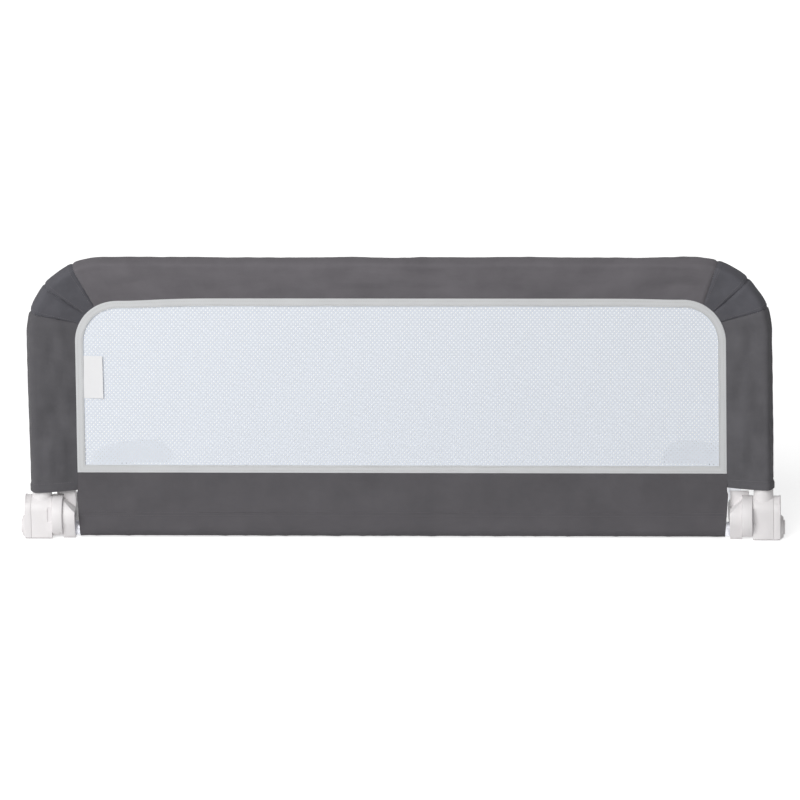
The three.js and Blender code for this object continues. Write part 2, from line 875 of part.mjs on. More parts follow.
// A sleeve round an arm tube with a flat underside at a height below the tube's axis
function armSleeve(radius, under, start, end) {
  const shape = new THREE.Shape();
  shape.moveTo(-radius, -under);
  shape.lineTo(radius, -under);
  shape.lineTo(radius, 0);
  shape.absarc(0, 0, radius, 0, Math.PI, false);
  const length = end - start;
  const sleeve = extruded(shape, length).rotateX(Math.PI / 2).translate(0, length, 0);
  return sleeve.translate(0, start - armSocketStart, 0).applyMatrix4(armMatrix());
}

function armBore(start, end) {
  const bore = rod('y', armRadius + seatGap, end - start, tubeSides);
  return bore.translate(0, start - armSocketStart, 0).applyMatrix4(armMatrix());
}

// Screw up through the underside of a sleeve into the arm tube: its hole and the screw itself
function lowScrewHole(place, under) {
  const hole = rod('z', screwRadius + screwGap, under);
  const head = rod('z', screwHeadRadius + screwGap, lowCounterbore + cutOverrun);
  return [hole.translate(0, 0, -under), head.translate(0, 0, -under - cutOverrun)]
    .map((body) => body.translate(0, place - armSocketStart, 0).applyMatrix4(armMatrix()));
}

function lowScrew() {
  return turned([
    [0, 0],
    [screwHeadRadius, 0],
    [screwHeadRadius, lowHeadHeight],
    [screwRadius, lowHeadHeight],
    [screwRadius, lowScrewReach],
    [0, lowScrewReach],
  ], screwSides).rotateY(-Math.PI / 2);
}

// Knuckle: block between disc and crossbar, with the arm's socket behind it and a root that joins the two
function armKnuckle() {
  const [footY, footZ] = [-crossbarForward, crossbarHeight - pivotHeight];
  const span = Math.hypot(footY, footZ);
  const axis = Math.atan2(-footZ, -footY);
  const spread = Math.acos((knuckleFootRadius - knuckleTopRadius) / span);
  const side = new THREE.Shape();
  side.absarc(footY, footZ, knuckleFootRadius, axis + spread, axis - spread + 2 * Math.PI, false);
  side.absarc(0, 0, knuckleTopRadius, axis - spread, axis + spread, false);
  const reach = 4 * discRadius;
  const body = at(slabX(side, knuckleWidth), knuckleInnerX, 0, pivotHeight);
  const ground = at(block(reach, reach, reach), knuckleInnerX, 0, -reach / 2);
  const slope = new THREE.Shape();
  slope.moveTo(knuckleInnerX - cutOverrun, pivotHeight + knuckleTopRadius - knuckleShoulder - cutOverrun);
  slope.lineTo(knuckleOuterX + cutOverrun, pivotHeight + knuckleTopRadius + cutOverrun);
  slope.lineTo(knuckleInnerX - cutOverrun, pivotHeight + knuckleTopRadius + cutOverrun);
  const shoulder = at(slabY(slope, reach), 0, knuckleRootFront - reach / 2, 0);
  const socket = armSleeve(armRadius + armSocketWall, armHeight, armSocketStart, armSocketEnd);
  const rootRadius = coverHemHeight - pivotHeight - knuckleRootBelowHem;
  const rootTurns = [knuckleRootBack, knuckleRootFront].map((depth) => Math.acos(depth / rootRadius));
  const rise = new THREE.Shape();
  rise.moveTo(knuckleRootFront, -cutOverrun);
  rise.lineTo(knuckleRootBack, -cutOverrun);
  rise.absarc(0, pivotHeight, rootRadius, rootTurns[0], rootTurns[1], false);
  const root = at(slabX(rise, knuckleRootWidth), knuckleInnerX + knuckleRootInset, 0, 0);
  const discRoom = at(rod('x', discRadius + seatGap, reach, discSides), knuckleOuterX, 0, pivotHeight);
  const boreStart = knuckleInnerX - cutOverrun;
  const crossbarBore = at(
    rod('x', crossbarRadius + seatGap, knuckleInnerX + crossbarInsert - boreStart, tubeSides),
    boreStart,
    -crossbarForward,
    crossbarHeight,
  );
  const boltHole = at(rod('x', boltRadius + seatGap, reach), knuckleInnerX - cutOverrun, 0, pivotHeight);
  const nutPocket = at(
    rod('x', nutPocketRadius, nutPocketDepth + cutOverrun, tubeSides),
    knuckleInnerX - cutOverrun,
    0,
    pivotHeight,
  );
  return cut(
    join(body, socket, root),
    ground,
    shoulder,
    discRoom,
    crossbarBore,
    boltHole,
    nutPocket,
    armBore(armTubeStart - seatGap, armSocketEnd + cutOverrun),
    ...lowScrewHole(armScrewPlace, armHeight),
  );
}

// Foot seen from above: the arm's end curves inwards into a blade with a round toe
function footPlan(inset) {
  const heel = footHeelX - inset;
  const back = footBack - inset;
  const front = footFront + inset;
  const toe = footToeX + inset;
  const outer = footOuterBend - inset;
  const inner = footInnerBend + inset;
  const innerX = armFootX - footStemHalf + inset;
  const start = footBladeStart + inset;
  const round = footToeRadius;
  const shape = new THREE.Shape();
  shape.moveTo(innerX, start);
  shape.lineTo(heel, start);
  shape.lineTo(heel, back - outer);
  shape.absarc(heel - outer, back - outer, outer, 0, Math.PI / 2, false);
  shape.lineTo(toe + round, back);
  shape.absarc(toe + round, back - round, round, Math.PI / 2, Math.PI, false);
  shape.lineTo(toe, front + round);
  shape.absarc(toe + round, front + round, round, Math.PI, 1.5 * Math.PI, false);
  shape.lineTo(innerX - inner, front);
  shape.absarc(innerX - inner, front - inner, inner, Math.PI / 2, 0, true);
  return shape;
}

function foot() {
  const floor = padThickness + seatGap;
  const blade = extruded(footPlan(0), footTop - floor).translate(0, 0, floor);
  const sleeveRadius = armRadius + footSleeveWall;
  const sleeve = armSleeve(sleeveRadius, sleeveRadius, footSleeveStart, footBladeStart + cutOverrun);
  const ramp = new THREE.Shape();
  ramp.moveTo(footToeX - cutOverrun, floor);
  ramp.lineTo(footToeX, floor);
  ramp.lineTo(footToeX + footToeRise, footTop);
  ramp.lineTo(footToeX + footToeRise, footTop + cutOverrun);
  ramp.lineTo(footToeX - cutOverrun, footTop + cutOverrun);
  const toeCut = slabY(ramp, 2 * footDepth).translate(0, footBack - footDepth / 2, 0);
  return cut(
    join(blade, sleeve),
    toeCut,
    armBore(footSleeveStart - cutOverrun, armTubeEnd + seatGap),
    ...lowScrewHole(footScrewPlace, sleeveRadius),
  );
}

function gripPad() {
  return extruded(footPlan(padInset), padThickness);
}

function armTube() {
  const length = armTubeEnd - armTubeStart;
  const tube = straightTube('y', armRadius, armWall, length);
  const hole = rod('z', screwRadius + screwGap, armRadius).translate(0, 0, -armRadius);
  return cut(
    tube,
    at(hole, 0, armScrewPlace - armTubeStart, 0),
    at(hole, 0, footScrewPlace - armTubeStart, 0),
  );
}

function sideTube(path) {
  const tube = swept(ringShape(tubeRadius, tubeRadius - tubeWall), path);
  const screwHole = at(
    rod('y', screwRadius + screwGap, tubeRadius + cutOverrun),
    uprightX,
    0,
    uprightScrewHeight,
  );
  const pinHole = at(
    rod('y', couplerPinRadius + screwGap, 2 * (tubeRadius + cutOverrun)),
    topTubeLength / 2 + couplerPinPlace,
    -tubeRadius - cutOverrun,
    tubeTop,
  );
  return cut(tube, screwHole, pinHole);
}

function tubeCoupler() {
  const radius = tubeRadius - tubeWall - seatGap;
  const tube = straightTube('x', radius, couplerWall, couplerLength, frameSides);
  tube.translate(-couplerLength / 2, 0, 0);
  const pinHole = rod('y', couplerPinRadius + screwGap, 2 * radius + 2 * cutOverrun);
  return cut(tube, at(pinHole, couplerPinPlace, -radius - cutOverrun, 0));
}

// Base pieces of one side, in a group for the side and nested groups for its hinge and arm
function baseSide(side) {
  const hinge = new THREE.Group();
  hinge.position.set(discInnerX, 0, pivotHeight);
  const shankStart = discWidth + runningGap + innerWall + washerThickness + 2 * seatGap;
  const nutPlace = seatGap + knuckleWidth - nutPocketDepth + seatGap + nutHeight;
  const shank = shankStart + nutPlace + screwRadius / 2;
  hinge.add(
    piece(`hinge_disc_${side}`, hingeDisc(), whitePlastic),
    piece(`lock_plate_${side}`, lockPlate(), darkSteel, discWidth - plateThickness),
    piece(`pivot_bolt_${side}`, pivotBolt(shank), darkSteel, shankStart),
    piece(`pivot_washer_${side}`, pivotWasher(), darkSteel, shankStart - seatGap - washerThickness),
    piece(`pivot_nut_${side}`, pivotNut(), darkSteel, -nutPlace),
  );
  const arm = new THREE.Group();
  arm.position.set(armHingeX, armSocketStart, armHeight);
  arm.rotation.z = toeIn;
  const sleeveFloor = -armHeight + lowCounterbore - lowHeadHeight - seatGap / 2;
  const footFloor = sleeveFloor + armHeight - armRadius - footSleeveWall;
  arm.add(
    piece(`arm_tube_${side}`, armTube(), platedSteel, 0, armTubeStart - armSocketStart),
    piece(`arm_screw_${side}`, lowScrew(), darkSteel, 0, armScrewPlace - armSocketStart, sleeveFloor),
    piece(`foot_screw_${side}`, lowScrew(), darkSteel, 0, footScrewPlace - armSocketStart, footFloor),
  );
  const group = new THREE.Group();
  group.add(
    hinge,
    arm,
    piece(`arm_knuckle_${side}`, armKnuckle(), whitePlastic),
    piece(`foot_${side}`, foot(), whitePlastic),
    piece(`grip_pad_${side}`, gripPad(), darkRubber),
  );
  return group;
}

// Folding pieces of one side, with the release button and its lock
function railSide(side) {
  const hinge = new THREE.Group();
  hinge.position.set(discInnerX, 0, pivotHeight);
  const places = plungerPlaces();
  const screwPlace = capOuterX - counterbore + seatGap - discInnerX;
  const springPlace = discWidth + runningGap + innerWall + seatGap;
  hinge.add(
    piece(`hinge_housing_${side}`, hingeHousing(), whitePlastic, housingInnerX - discInnerX),
    piece(`outer_cap_${side}`, outerCap(), whitePlastic, capInnerX - discInnerX),
    piece(`cap_screw_${side}`, capScrew(), darkSteel, screwPlace, bossDepthPlace, bossHeightPlace),
    piece(`lock_plunger_${side}`, lockPlunger(), darkSteel, 0, 0, -lockRadius),
    piece(`release_button_${side}`, releaseButton(), whitePlastic, places.flangeInner, 0, -lockRadius),
    piece(`button_spring_${side}`, buttonSpring(), darkSteel, springPlace, 0, -lockRadius),
  );
  const path = sidePath(pivotHeight + tubeSeat + seatGap);
  const pinHalf = tubeRadius - couplerPinShy;
  const screwSeat = socketRadius + seatGap;
  const group = new THREE.Group();
  group.add(
    hinge,
    piece(`side_tube_${side}`, sideTube(path), platedSteel),
    piece(`upright_screw_${side}`, uprightScrew(), darkSteel, uprightX, screwSeat, uprightScrewHeight),
    piece(`tube_coupler_${side}`, tubeCoupler(), platedSteel, topTubeLength / 2, 0, tubeTop),
    piece(
      `coupler_pin_${side}`,
      rod('y', couplerPinRadius, 2 * pinHalf),
      darkSteel,
      topTubeLength / 2 + couplerPinPlace,
      -pinHalf,
      tubeTop,
    ),
    piece(`side_cover_${side}`, sideCover(path), greyCloth),
    piece(`lower_gore_${side}`, cornerCover(coverSeamTurns[1], coverSeamTurns[2], path), greyCloth),
    piece(`upper_gore_${side}`, cornerCover(coverSeamTurns[0], coverSeamTurns[1], path), greyCloth),
  );
  return group;
}

// Screw along Y into the upright, head behind the socket, with y = 0 under its head
function uprightScrew() {
  return turned([
    [0, -uprightScrewReach],
    [screwRadius, -uprightScrewReach],
    [screwRadius, 0],
    [screwHeadRadius, 0],
    [screwHeadRadius, screwHeadHeight],
    [0, screwHeadHeight],
  ], screwSides).rotateZ(Math.PI / 2);
}

function mirrored(group) {
  group.scale.x = -1;
  return group;
}

// Pieces that run right across
function middle() {
  const group = new THREE.Group();
  const crossbarHalf = knuckleInnerX + crossbarInsert - seatGap;
  const labelX = -netHalfWidth - seatGap;
  const labelY = -bindingThickness / 2 + labelThickness / 2;
  group.add(
    piece(
      'crossbar',
      straightTube('x', crossbarRadius, crossbarWall, 2 * crossbarHalf),
      platedSteel,
      -crossbarHalf,
      -crossbarForward,
      crossbarHeight,
    ),
    piece('crossbar_hem', crossbarHem(), greyCloth, 0, -crossbarForward, crossbarHeight),
    piece(
      'top_tube',
      straightTube('x', tubeRadius, tubeWall, topTubeLength, frameSides),
      platedSteel,
      -topTubeLength / 2,
      0,
      tubeTop,
    ),
    piece('top_cover', topCover(), greyCloth),
    piece('mesh_panel', meshPanel(), netCloth),
    piece('mesh_binding', binding(), tapeCloth),
    piece('lower_panel', lowerPanel(), greyCloth, 0, 0, (lowerPanelBottom + openingBottom) / 2),
    piece(
      'label_tab',
      block(labelWidth, labelThickness, labelHeight),
      labelCloth,
      labelX + labelWidth / 2 + clothGap,
      labelY,
      openingTop - labelDrop - labelHeight / 2,
    ),
  );
  return group;
}

const guardRail = new THREE.Group();
guardRail.position.y = -footprintCentre;
guardRail.add(
  baseSide('right'),
  mirrored(baseSide('left')),
  railSide('right'),
  mirrored(railSide('left')),
  middle(),
);

export default guardRail;
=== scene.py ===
"""Folding bed guard rail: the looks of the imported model, in metres."""

import math
from collections import namedtuple
from contextlib import contextmanager

import bpy
from mathutils import Matrix, Vector, noise


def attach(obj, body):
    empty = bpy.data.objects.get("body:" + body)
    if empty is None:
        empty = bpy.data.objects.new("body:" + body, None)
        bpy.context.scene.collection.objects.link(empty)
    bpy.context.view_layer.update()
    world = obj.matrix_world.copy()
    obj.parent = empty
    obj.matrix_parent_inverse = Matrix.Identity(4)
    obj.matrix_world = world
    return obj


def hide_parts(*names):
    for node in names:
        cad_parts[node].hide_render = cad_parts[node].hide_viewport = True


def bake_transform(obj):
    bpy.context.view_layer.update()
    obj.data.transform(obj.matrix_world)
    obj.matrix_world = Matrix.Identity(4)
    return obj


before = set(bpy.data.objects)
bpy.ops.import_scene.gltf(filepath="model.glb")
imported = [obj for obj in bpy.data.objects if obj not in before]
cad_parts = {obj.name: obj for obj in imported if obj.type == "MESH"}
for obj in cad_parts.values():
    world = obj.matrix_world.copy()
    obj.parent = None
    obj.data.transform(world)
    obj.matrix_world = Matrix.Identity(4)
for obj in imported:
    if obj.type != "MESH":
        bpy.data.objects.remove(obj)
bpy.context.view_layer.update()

MM = 0.001

# Places and sizes are in millimetres, on the right side, with Y from the rail's plane. A name
# that ends in _AT is a place in Y and Z.
RAIL_Y = -170.0

# Hinge
PIVOT_Z = 30.5
PIVOT_AT, LOCK_AT, CAP_SCREW_AT = (0, PIVOT_Z), (0, PIVOT_Z - 15.9), (14.0, PIVOT_Z + 7.0)
CROSSBAR_Y, CROSSBAR_Z, CROSSBAR_RADIUS = -2.0, 12.6, 10.0
CROSSBAR_AT = (CROSSBAR_Y, CROSSBAR_Z)
KNUCKLE_IN, KNUCKLE_OUT, KNUCKLE_LOW, KNUCKLE_HIGH = 454.2, 470.9, 15.0, 24.0
ROOT_FRONT, ROOT_BACK, ROOT_RADIUS, ROOT_WIDTH = 4.0, 34.0, 35.3, 25.4
DISC_IN, DISC_OUT, DISC_RADIUS = 471.2, 485.8, 29.0
HOUSING_IN, HOUSING_OUT, HOUSING_HALF = 486.2, 514.7, 20.0
HOUSING_FLOOR, HOUSING_CHAMFER = 0.8, 3.0
SCOOP_RADIUS, SCOOP_Z, SCOOP_FLOOR_Y, SCOOP_HALF = 12.0, 36.5, -18.5, 6.0
SOCKET_RADIUS, SOCKET_BORE, SOCKET_FLOOR, SOCKET_TOP = 13.6, 11.3, 46.0, 72.1
CAP_IN, CAP_OUT = 515.0, 524.0
BULGE_FOOT, BULGE_TOP, BULGE_OUT = 18.3, 14.0, 528.0
BUTTON_OUT, BUTTON_RADIUS, BUTTON_ROOM, BUTTON_POCKET = 530.0, 9.9, 10.2, 5.4
UPRIGHT_X, UPRIGHT_SCREW_Z = 500.45, 60.5
BOLT_ROOM, NUT_ROOM, NUT_RADIUS = 4.3, 6.6, 6.2
SCREW_ROOM, WELL_RADIUS = 1.8, 3.2
SCREW_HEAD, SCREW_SHANK = 2.9, 1.5

# Frame tube, and the opening inside the cover
TUBE_Z = 389.0
BEND_X, BEND_Z, BEND_RADIUS = 405.45, 294.0, 95.0
OPENING_HALF, OPENING_TOP, OPENING_LOW = 449.45, 343.2, 93.0
ROUND_WIDE, ROUND_HIGH = 60.0, 62.0
ROUND_X, ROUND_Z = OPENING_HALF - ROUND_WIDE, OPENING_TOP - ROUND_HIGH
LEFT_LEAN, LEAN_REACH = 2.2, 400
TAPE_WIDTH = 10.5
CLOTH_RADIUS = 14.5
SEAM_HALF = 1.3
LEFT_HEM_Z, RIGHT_HEM_Z = 67.0, 72.4

# Arms and feet; a distance along an arm is counted from the rail's plane
ARM_X, ARM_Y, ARM_Z, ARM_RADIUS = 466.2, 8.0, 12.6, 9.5
ARM_END, ARM_TOE_IN, ARM_ROOM = 284.0, 16.0, 0.2
SOCKET_END, SOCKET_WALL = 110.0, 2.4
ARM_SCREW_ALONG, FOOT_SCREW_ALONG = 90, 256
FOOT_BACK, FOOT_FRONT, FOOT_TOP, FOOT_FLOOR = 369.0, 336.0, 25.0, 3.3
BLADE_START, BLADE_HALF = 285.0, 9.75
FOOT_X = ARM_X - ARM_TOE_IN
HEEL_X, TOE_X = FOOT_X + BLADE_HALF, FOOT_X + BLADE_HALF - 110.0
HEEL_ROUND, INNER_ROUND, TOE_ROUND = 76.0, 45.0, 10.0
TUBE_WALL, MOUTH_DEPTH = 1.4, 9


def spot(x, y, z):
    """The place in metres of three millimetre values, with y from the rail's plane."""
    return Vector((x, y + RAIL_Y, z)) * MM


# Working by hand: selecting, settling and shaping


def take(piece):
    """Selects one piece alone and makes it the active one."""
    bpy.ops.object.select_all(action="DESELECT")
    piece.select_set(True)
    bpy.context.view_layer.objects.active = piece


def settle(name):
    """Puts a new primitive's place into its mesh and names it."""
    piece = bpy.context.object
    take(piece)
    bpy.ops.object.transform_apply()
    piece.name = name
    piece.data.name = name
    return piece


def from_to(start, end):
    """The length, middle and turn of a round primitive that goes from one place to another."""
    a, b = spot(*start), spot(*end)
    turn = (b - a).to_track_quat("Z", "Y").to_euler()
    return {"depth": (b - a).length, "location": (a + b) / 2, "rotation": turn}


def bar(name, radius, start, end, sides=64):
    """A round bar between two places."""
    bpy.ops.mesh.primitive_cylinder_add(vertices=sides, radius=radius * MM, **from_to(start, end))
    return settle(name)


def axle(name, radius, first, last, at=PIVOT_AT, sides=64):
    """A round bar across the rail from a first to a last X."""
    return bar(name, radius, (first, *at), (last, *at), sides)


def cone(name, radius, tip, start, end, sides=96):
    bpy.ops.mesh.primitive_cone_add(
        vertices=sides, radius1=radius * MM, radius2=tip * MM, **from_to(start, end)
    )
    return settle(name)


@contextmanager
def editing(piece, chosen=None):
    """Edit mode on one piece, with all of it selected or only the faces whose normal is chosen."""
    take(piece)
    bpy.ops.object.mode_set(mode="EDIT")
    bpy.ops.mesh.select_all(action="SELECT")
    if chosen:
        bpy.ops.mesh.select_mode(type="FACE")
        bpy.ops.mesh.select_all(action="DESELECT")
        bpy.ops.object.mode_set(mode="OBJECT")
        for face in piece.data.polygons:
            face.select = chosen(face.normal)
        bpy.ops.object.mode_set(mode="EDIT")
    yield bpy.ops.mesh
    bpy.ops.object.mode_set(mode="OBJECT")


def facing_out(piece):
    """Turns each face outwards."""
    with editing(piece) as mesh:
        mesh.normals_make_consistent(inside=False)
    return piece


def smooth(piece, angle=38):
    """Shades a piece smooth, except across edges that are sharper than the angle."""
    take(piece)
    bpy.ops.object.shade_smooth_by_angle(angle=math.radians(angle))
    return piece


def plate(name, outline, push):
    """A flat outline of places, pushed out into a solid."""
    bpy.ops.mesh.primitive_circle_add(vertices=len(outline), radius=MM, fill_type="NGON")
    piece = settle(name)
    for vertex, place in zip(piece.data.vertices, outline):
        vertex.co = spot(*place)
    with editing(piece) as mesh:
        mesh.extrude_region_move(TRANSFORM_OT_translate={"value": Vector(push) * MM})
    return facing_out(piece)


def block(name, low, high):
    a, b = spot(*low), spot(*high)
    bpy.ops.mesh.primitive_cube_add(size=1, location=(a + b) / 2, scale=b - a)
    return settle(name)


def shaped(piece, tool, how="DIFFERENCE"):
    """Cuts a piece with a tool, or keeps or adds what the two share."""
    take(piece)
    change = piece.modifiers.new("shape", "BOOLEAN")
    change.operation = how
    change.solver = "EXACT"
    change.object = tool
    bpy.ops.object.modifier_apply(modifier=change.name)
    bpy.data.objects.remove(tool)
    return piece


def joined(piece, tool):
    return shaped(piece, tool, "UNION")


def softened(piece, width, segments=3):
    """Rounds the sharp edges, after doubled points and faces in one plane are merged."""
    with editing(piece) as mesh:
        mesh.remove_doubles(threshold=0.02 * MM)
        mesh.dissolve_limited(angle_limit=math.radians(0.4))
        mesh.normals_make_consistent(inside=False)
    change = piece.modifiers.new("edges", "BEVEL")
    change.width = width * MM
    change.segments = segments
    change.limit_method = "ANGLE"
    change.angle_limit = math.radians(32)
    bpy.ops.object.modifier_apply(modifier=change.name)
    return smooth(piece)


def twin(piece, name):
    """The same piece mirrored to the left side, with a mesh of its own."""
    take(piece)
    bpy.ops.object.duplicate()
    copy = bpy.context.object
    copy.name = name
    copy.data.name = name
    copy.data.transform(Matrix.Scale(-1, 4, (1, 0, 0)))
    copy.data.flip_normals()
    return copy


def arc(centre, radius, first, last, steps):
    """Points of an arc as pairs, from a first to a last angle in degrees."""
    turns = [math.radians(first + (last - first) * i / steps) for i in range(steps + 1)]
    return [(centre[0] + radius * math.cos(t), centre[1] + radius * math.sin(t)) for t in turns]


# Finishes


class Wire:
    """One socket, with arithmetic that adds its Math nodes."""

    def __init__(self, nodes, socket):
        self.nodes, self.socket = nodes, socket

    def __add__(self, other):
        return self.nodes.maths("ADD", self, other)

    __radd__ = __add__

    def __sub__(self, other):
        return self.nodes.maths("SUBTRACT", self, other)

    def __rsub__(self, other):
        return self.nodes.maths("SUBTRACT", other, self)

    def __mul__(self, other):
        return self.nodes.maths("MULTIPLY", self, other)

    __rmul__ = __mul__


class Nodes:
    """A node tree that nodes are added to."""

    def __init__(self, tree):
        self.tree = tree

    def feed(self, socket, value):
        if isinstance(value, Wire):
            self.tree.links.new(value.socket, socket)
        else:
            socket.default_value = value

    def node(self, kind, settings=None, values=None, out=0):
        made = self.tree.nodes.new(kind)
        for key, value in (settings or {}).items():
            setattr(made, key, value)
        for key, value in (values or {}).items():
            self.feed(made.inputs[key], value)
        return Wire(self, made.outputs[out])

    def maths(self, how, *values):
        return self.node("ShaderNodeMath", {"operation": how}, dict(enumerate(values)))

    def seen_white(self):
        """1 for what the camera sees, straight or in a reflection, and 0 for all other light."""
        rays = self.node("ShaderNodeLightPath").socket.node.outputs
        seen = (Wire(self, rays[name]) for name in ("Is Camera Ray", "Is Glossy Ray"))
        return self.maths("MAXIMUM", *seen)


class Finish(Nodes):
    """A material built from nodes, with its fixed values on the shader itself."""

    def __init__(self, name, **fixed):
        self.material = bpy.data.materials.new(name)
        self.material.use_nodes = True
        super().__init__(self.material.node_tree)
        self.shader = self.tree.nodes["Principled BSDF"]
        for key, value in fixed.items():
            self.shader.inputs[key.replace("_", " ")].default_value = value

    def split(self, vector):
        first = self.node("ShaderNodeSeparateXYZ", None, {0: vector})
        return [Wire(self, out) for out in first.socket.node.outputs]

    def on_object(self):
        return self.node("ShaderNodeTexCoord", out=3)

    def on_cloth(self):
        return self.node("ShaderNodeUVMap", {"uv_map": "cloth"})

    def scaled(self, vector, scale):
        return self.node("ShaderNodeMapping", None, {"Vector": vector, "Scale": scale})

    def grain(self, vector, scale, detail=2.0, roughness=0.5):
        values = {"Vector": vector, "Scale": scale, "Detail": detail, "Roughness": roughness}
        return self.node("ShaderNodeTexNoise", None, values)

    def colour(self, share, first, second):
        """Colours the surface from a first to a second colour by a share."""
        values = {0: share, 6: (*first, 1), 7: (*second, 1)}
        mixed = self.node("ShaderNodeMix", {"data_type": "RGBA"}, values, out=2)
        self.feed(self.shader.inputs["Base Color"], mixed)

    def roughness(self, wire):
        self.feed(self.shader.inputs["Roughness"], wire)

    def raised(self, height, distance, strength):
        values = {"Strength": strength, "Distance": distance * MM, "Height": height}
        self.feed(self.shader.inputs["Normal"], self.node("ShaderNodeBump", None, values))


def shade(colour, by):
    return tuple(min(1.0, c * by) for c in colour)


def moulded_plastic(name, colour):
    """Satin white plastic with a fine grain and long scuffs."""
    finish = Finish(name, Specular_IOR_Level=0.45)
    place = finish.on_object()
    cloudy = finish.grain(place, 9.0, detail=3.0)
    fine = finish.grain(place, 900.0)
    scuffs = finish.grain(finish.scaled(place, (18.0, 60.0, 240.0)), 4.0, detail=4.0, roughness=0.7)
    finish.colour(cloudy, shade(colour, 0.965), shade(colour, 1.02))
    finish.roughness(0.36 + fine * 0.08 + scuffs * 0.14)
    finish.raised(fine + scuffs * 0.6, distance=0.05, strength=0.35)
    return finish.material


def woven_cloth(name, colour, pitch=0.9, depth=0.22, sheen=0.1, mottle=0.3):
    """Plain weave that follows the cloth, with uneven yarns and soft patches."""
    finish = Finish(name, Sheen_Weight=sheen, Sheen_Roughness=0.45, Specular_IOR_Level=0.3)
    flat = finish.on_cloth()
    along, across, _ = finish.split(flat)
    turns = 2 * math.pi / (pitch * MM)
    warp, weft = (finish.maths("SINE", way * turns) for way in (along, across))
    weave = warp * weft * 0.5 + 0.5
    yarn_along = finish.grain(finish.scaled(flat, (60.0, 1400.0, 1.0)), 1.0)
    yarn_across = finish.grain(finish.scaled(flat, (1400.0, 60.0, 1.0)), 1.0)
    patches = finish.grain(flat, 16.0, detail=3.0, roughness=0.6)
    slub = yarn_along * 0.5 + yarn_across * 0.5
    tone = patches * 1.5 + slub * 0.26 + weave * 0.12 - 0.44
    finish.colour(tone, shade(colour, 1 - mottle), shade(colour, 1 + mottle))
    finish.roughness(0.78 + patches * 0.14)
    finish.raised(weave + slub * 0.5, distance=depth, strength=0.6)
    return finish.material


def plated_tube(name, colour, rough):
    """Bright zinc on drawn steel: fine lines along the tube and a faint bloom."""
    finish = Finish(name, Metallic=0.85, Specular_IOR_Level=0.5)
    place = finish.on_object()
    lines = finish.grain(finish.scaled(place, (12.0, 12.0, 700.0)), 1.0, detail=3.0)
    bloom = finish.grain(place, 45.0, detail=4.0, roughness=0.65)
    finish.colour(bloom, shade(colour, 0.9), shade(colour, 1.06))
    finish.roughness(rough + bloom * 0.14 + lines * 0.06)
    finish.raised(lines + bloom * 0.4, distance=0.02, strength=0.3)
    return finish.material


def ribbed_rubber(name, colour, pitch=4):
    finish = Finish(name, Specular_IOR_Level=0.35)
    place = finish.on_object()
    across, _, _ = finish.split(place)
    ribs = finish.maths("SINE", across * (2 * math.pi / (pitch * MM))) * 0.5 + 0.5
    dust = finish.grain(place, 120.0, detail=4.0, roughness=0.7)
    finish.colour(dust, shade(colour, 0.8), shade(colour, 1.5))
    finish.roughness(0.7 + dust * 0.2)
    finish.raised(ribs + dust * 0.2, distance=0.3, strength=0.5)
    return finish.material


def spun_thread(name, colour):
    finish = Finish(name, Sheen_Weight=0.2, Specular_IOR_Level=0.3)
    twist = finish.grain(finish.on_object(), 1800.0)
    finish.colour(twist, shade(colour, 0.85), shade(colour, 1.12))
    finish.roughness(0.7 + twist * 0.15)
    finish.raised(twist, distance=0.08, strength=0.5)
    return finish.material


# Sleeves, gores and lower panel are the same grey cloth as the top. Their darker colours are
# painted shade for the weaker light on these panels.
GREY, SHADED_SLEEVE, SHADED_GORE = (0.152, 0.143, 0.155), (0.109, 0.106, 0.115), (0.103, 0.102, 0.116)
SHADED_LOWER, TAPE, LABEL = (0.101, 0.096, 0.104), (0.69, 0.70, 0.71), (0.88, 0.88, 0.89)
finishes = {
    "white_plastic": moulded_plastic("moulded_white_plastic", (0.868, 0.842, 0.846)),
    "grey_fabric": woven_cloth("grey_woven_fabric", GREY, sheen=0.12, mottle=0.2),
    "sleeve_fabric": woven_cloth("shaded_grey_sleeve_fabric", SHADED_SLEEVE),
    "gore_fabric": woven_cloth("shaded_grey_gore_fabric", SHADED_GORE),
    "lower_fabric": woven_cloth("shaded_grey_lower_fabric", SHADED_LOWER, mottle=0.18),
    "tape_fabric": woven_cloth("pale_twill_tape", TAPE, 0.7, 0.16, sheen=0.0, mottle=0.04),
    "label_fabric": woven_cloth("blank_satin_label", LABEL, 0.4, 0.05, sheen=0.0, mottle=0.015),
    "net_fabric": spun_thread("white_net_thread", (0.79, 0.83, 0.90)),
    "plated_tube": plated_tube("zinc_plated_tube", (0.80, 0.81, 0.86), 0.24),
    "steel_parts": plated_tube("dull_steel_fasteners", (0.52, 0.52, 0.54), 0.34),
    "grip_rubber": ribbed_rubber("dark_grip_rubber", (0.035, 0.035, 0.037)),
    "grey_thread": spun_thread("grey_sewing_thread", (0.15, 0.143, 0.155)),
    "tape_thread": spun_thread("pale_sewing_thread", (0.62, 0.61, 0.60)),
}

GREY_FINISHES = ("lower_fabric", "sleeve_fabric", "gore_fabric", "grey_thread")
SLOT_OF = {"tape_thread": "tape_fabric", **dict.fromkeys(GREY_FINISHES, "grey_fabric")}


def dressed(piece, finish, body, *nodes):
    """Gives a piece its finish, the body it rides on, and the nodes it stands for."""
    piece.data.materials.clear()
    piece.data.materials.append(finishes[finish])
    if body is not None:
        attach(piece, body)
    if nodes:
        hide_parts(*nodes)


# Cloth


def added(name, data):
    """A mesh, a camera or a light as a new object of the scene."""
    thing = bpy.data.objects.new(name, data)
    bpy.context.scene.collection.objects.link(thing)
    return thing


def grown(name, vertices, faces):
    """A new piece from places in metres and faces."""
    mesh = bpy.data.meshes.new(name)
    mesh.from_pydata(vertices, [], faces)
    return added(name, mesh)


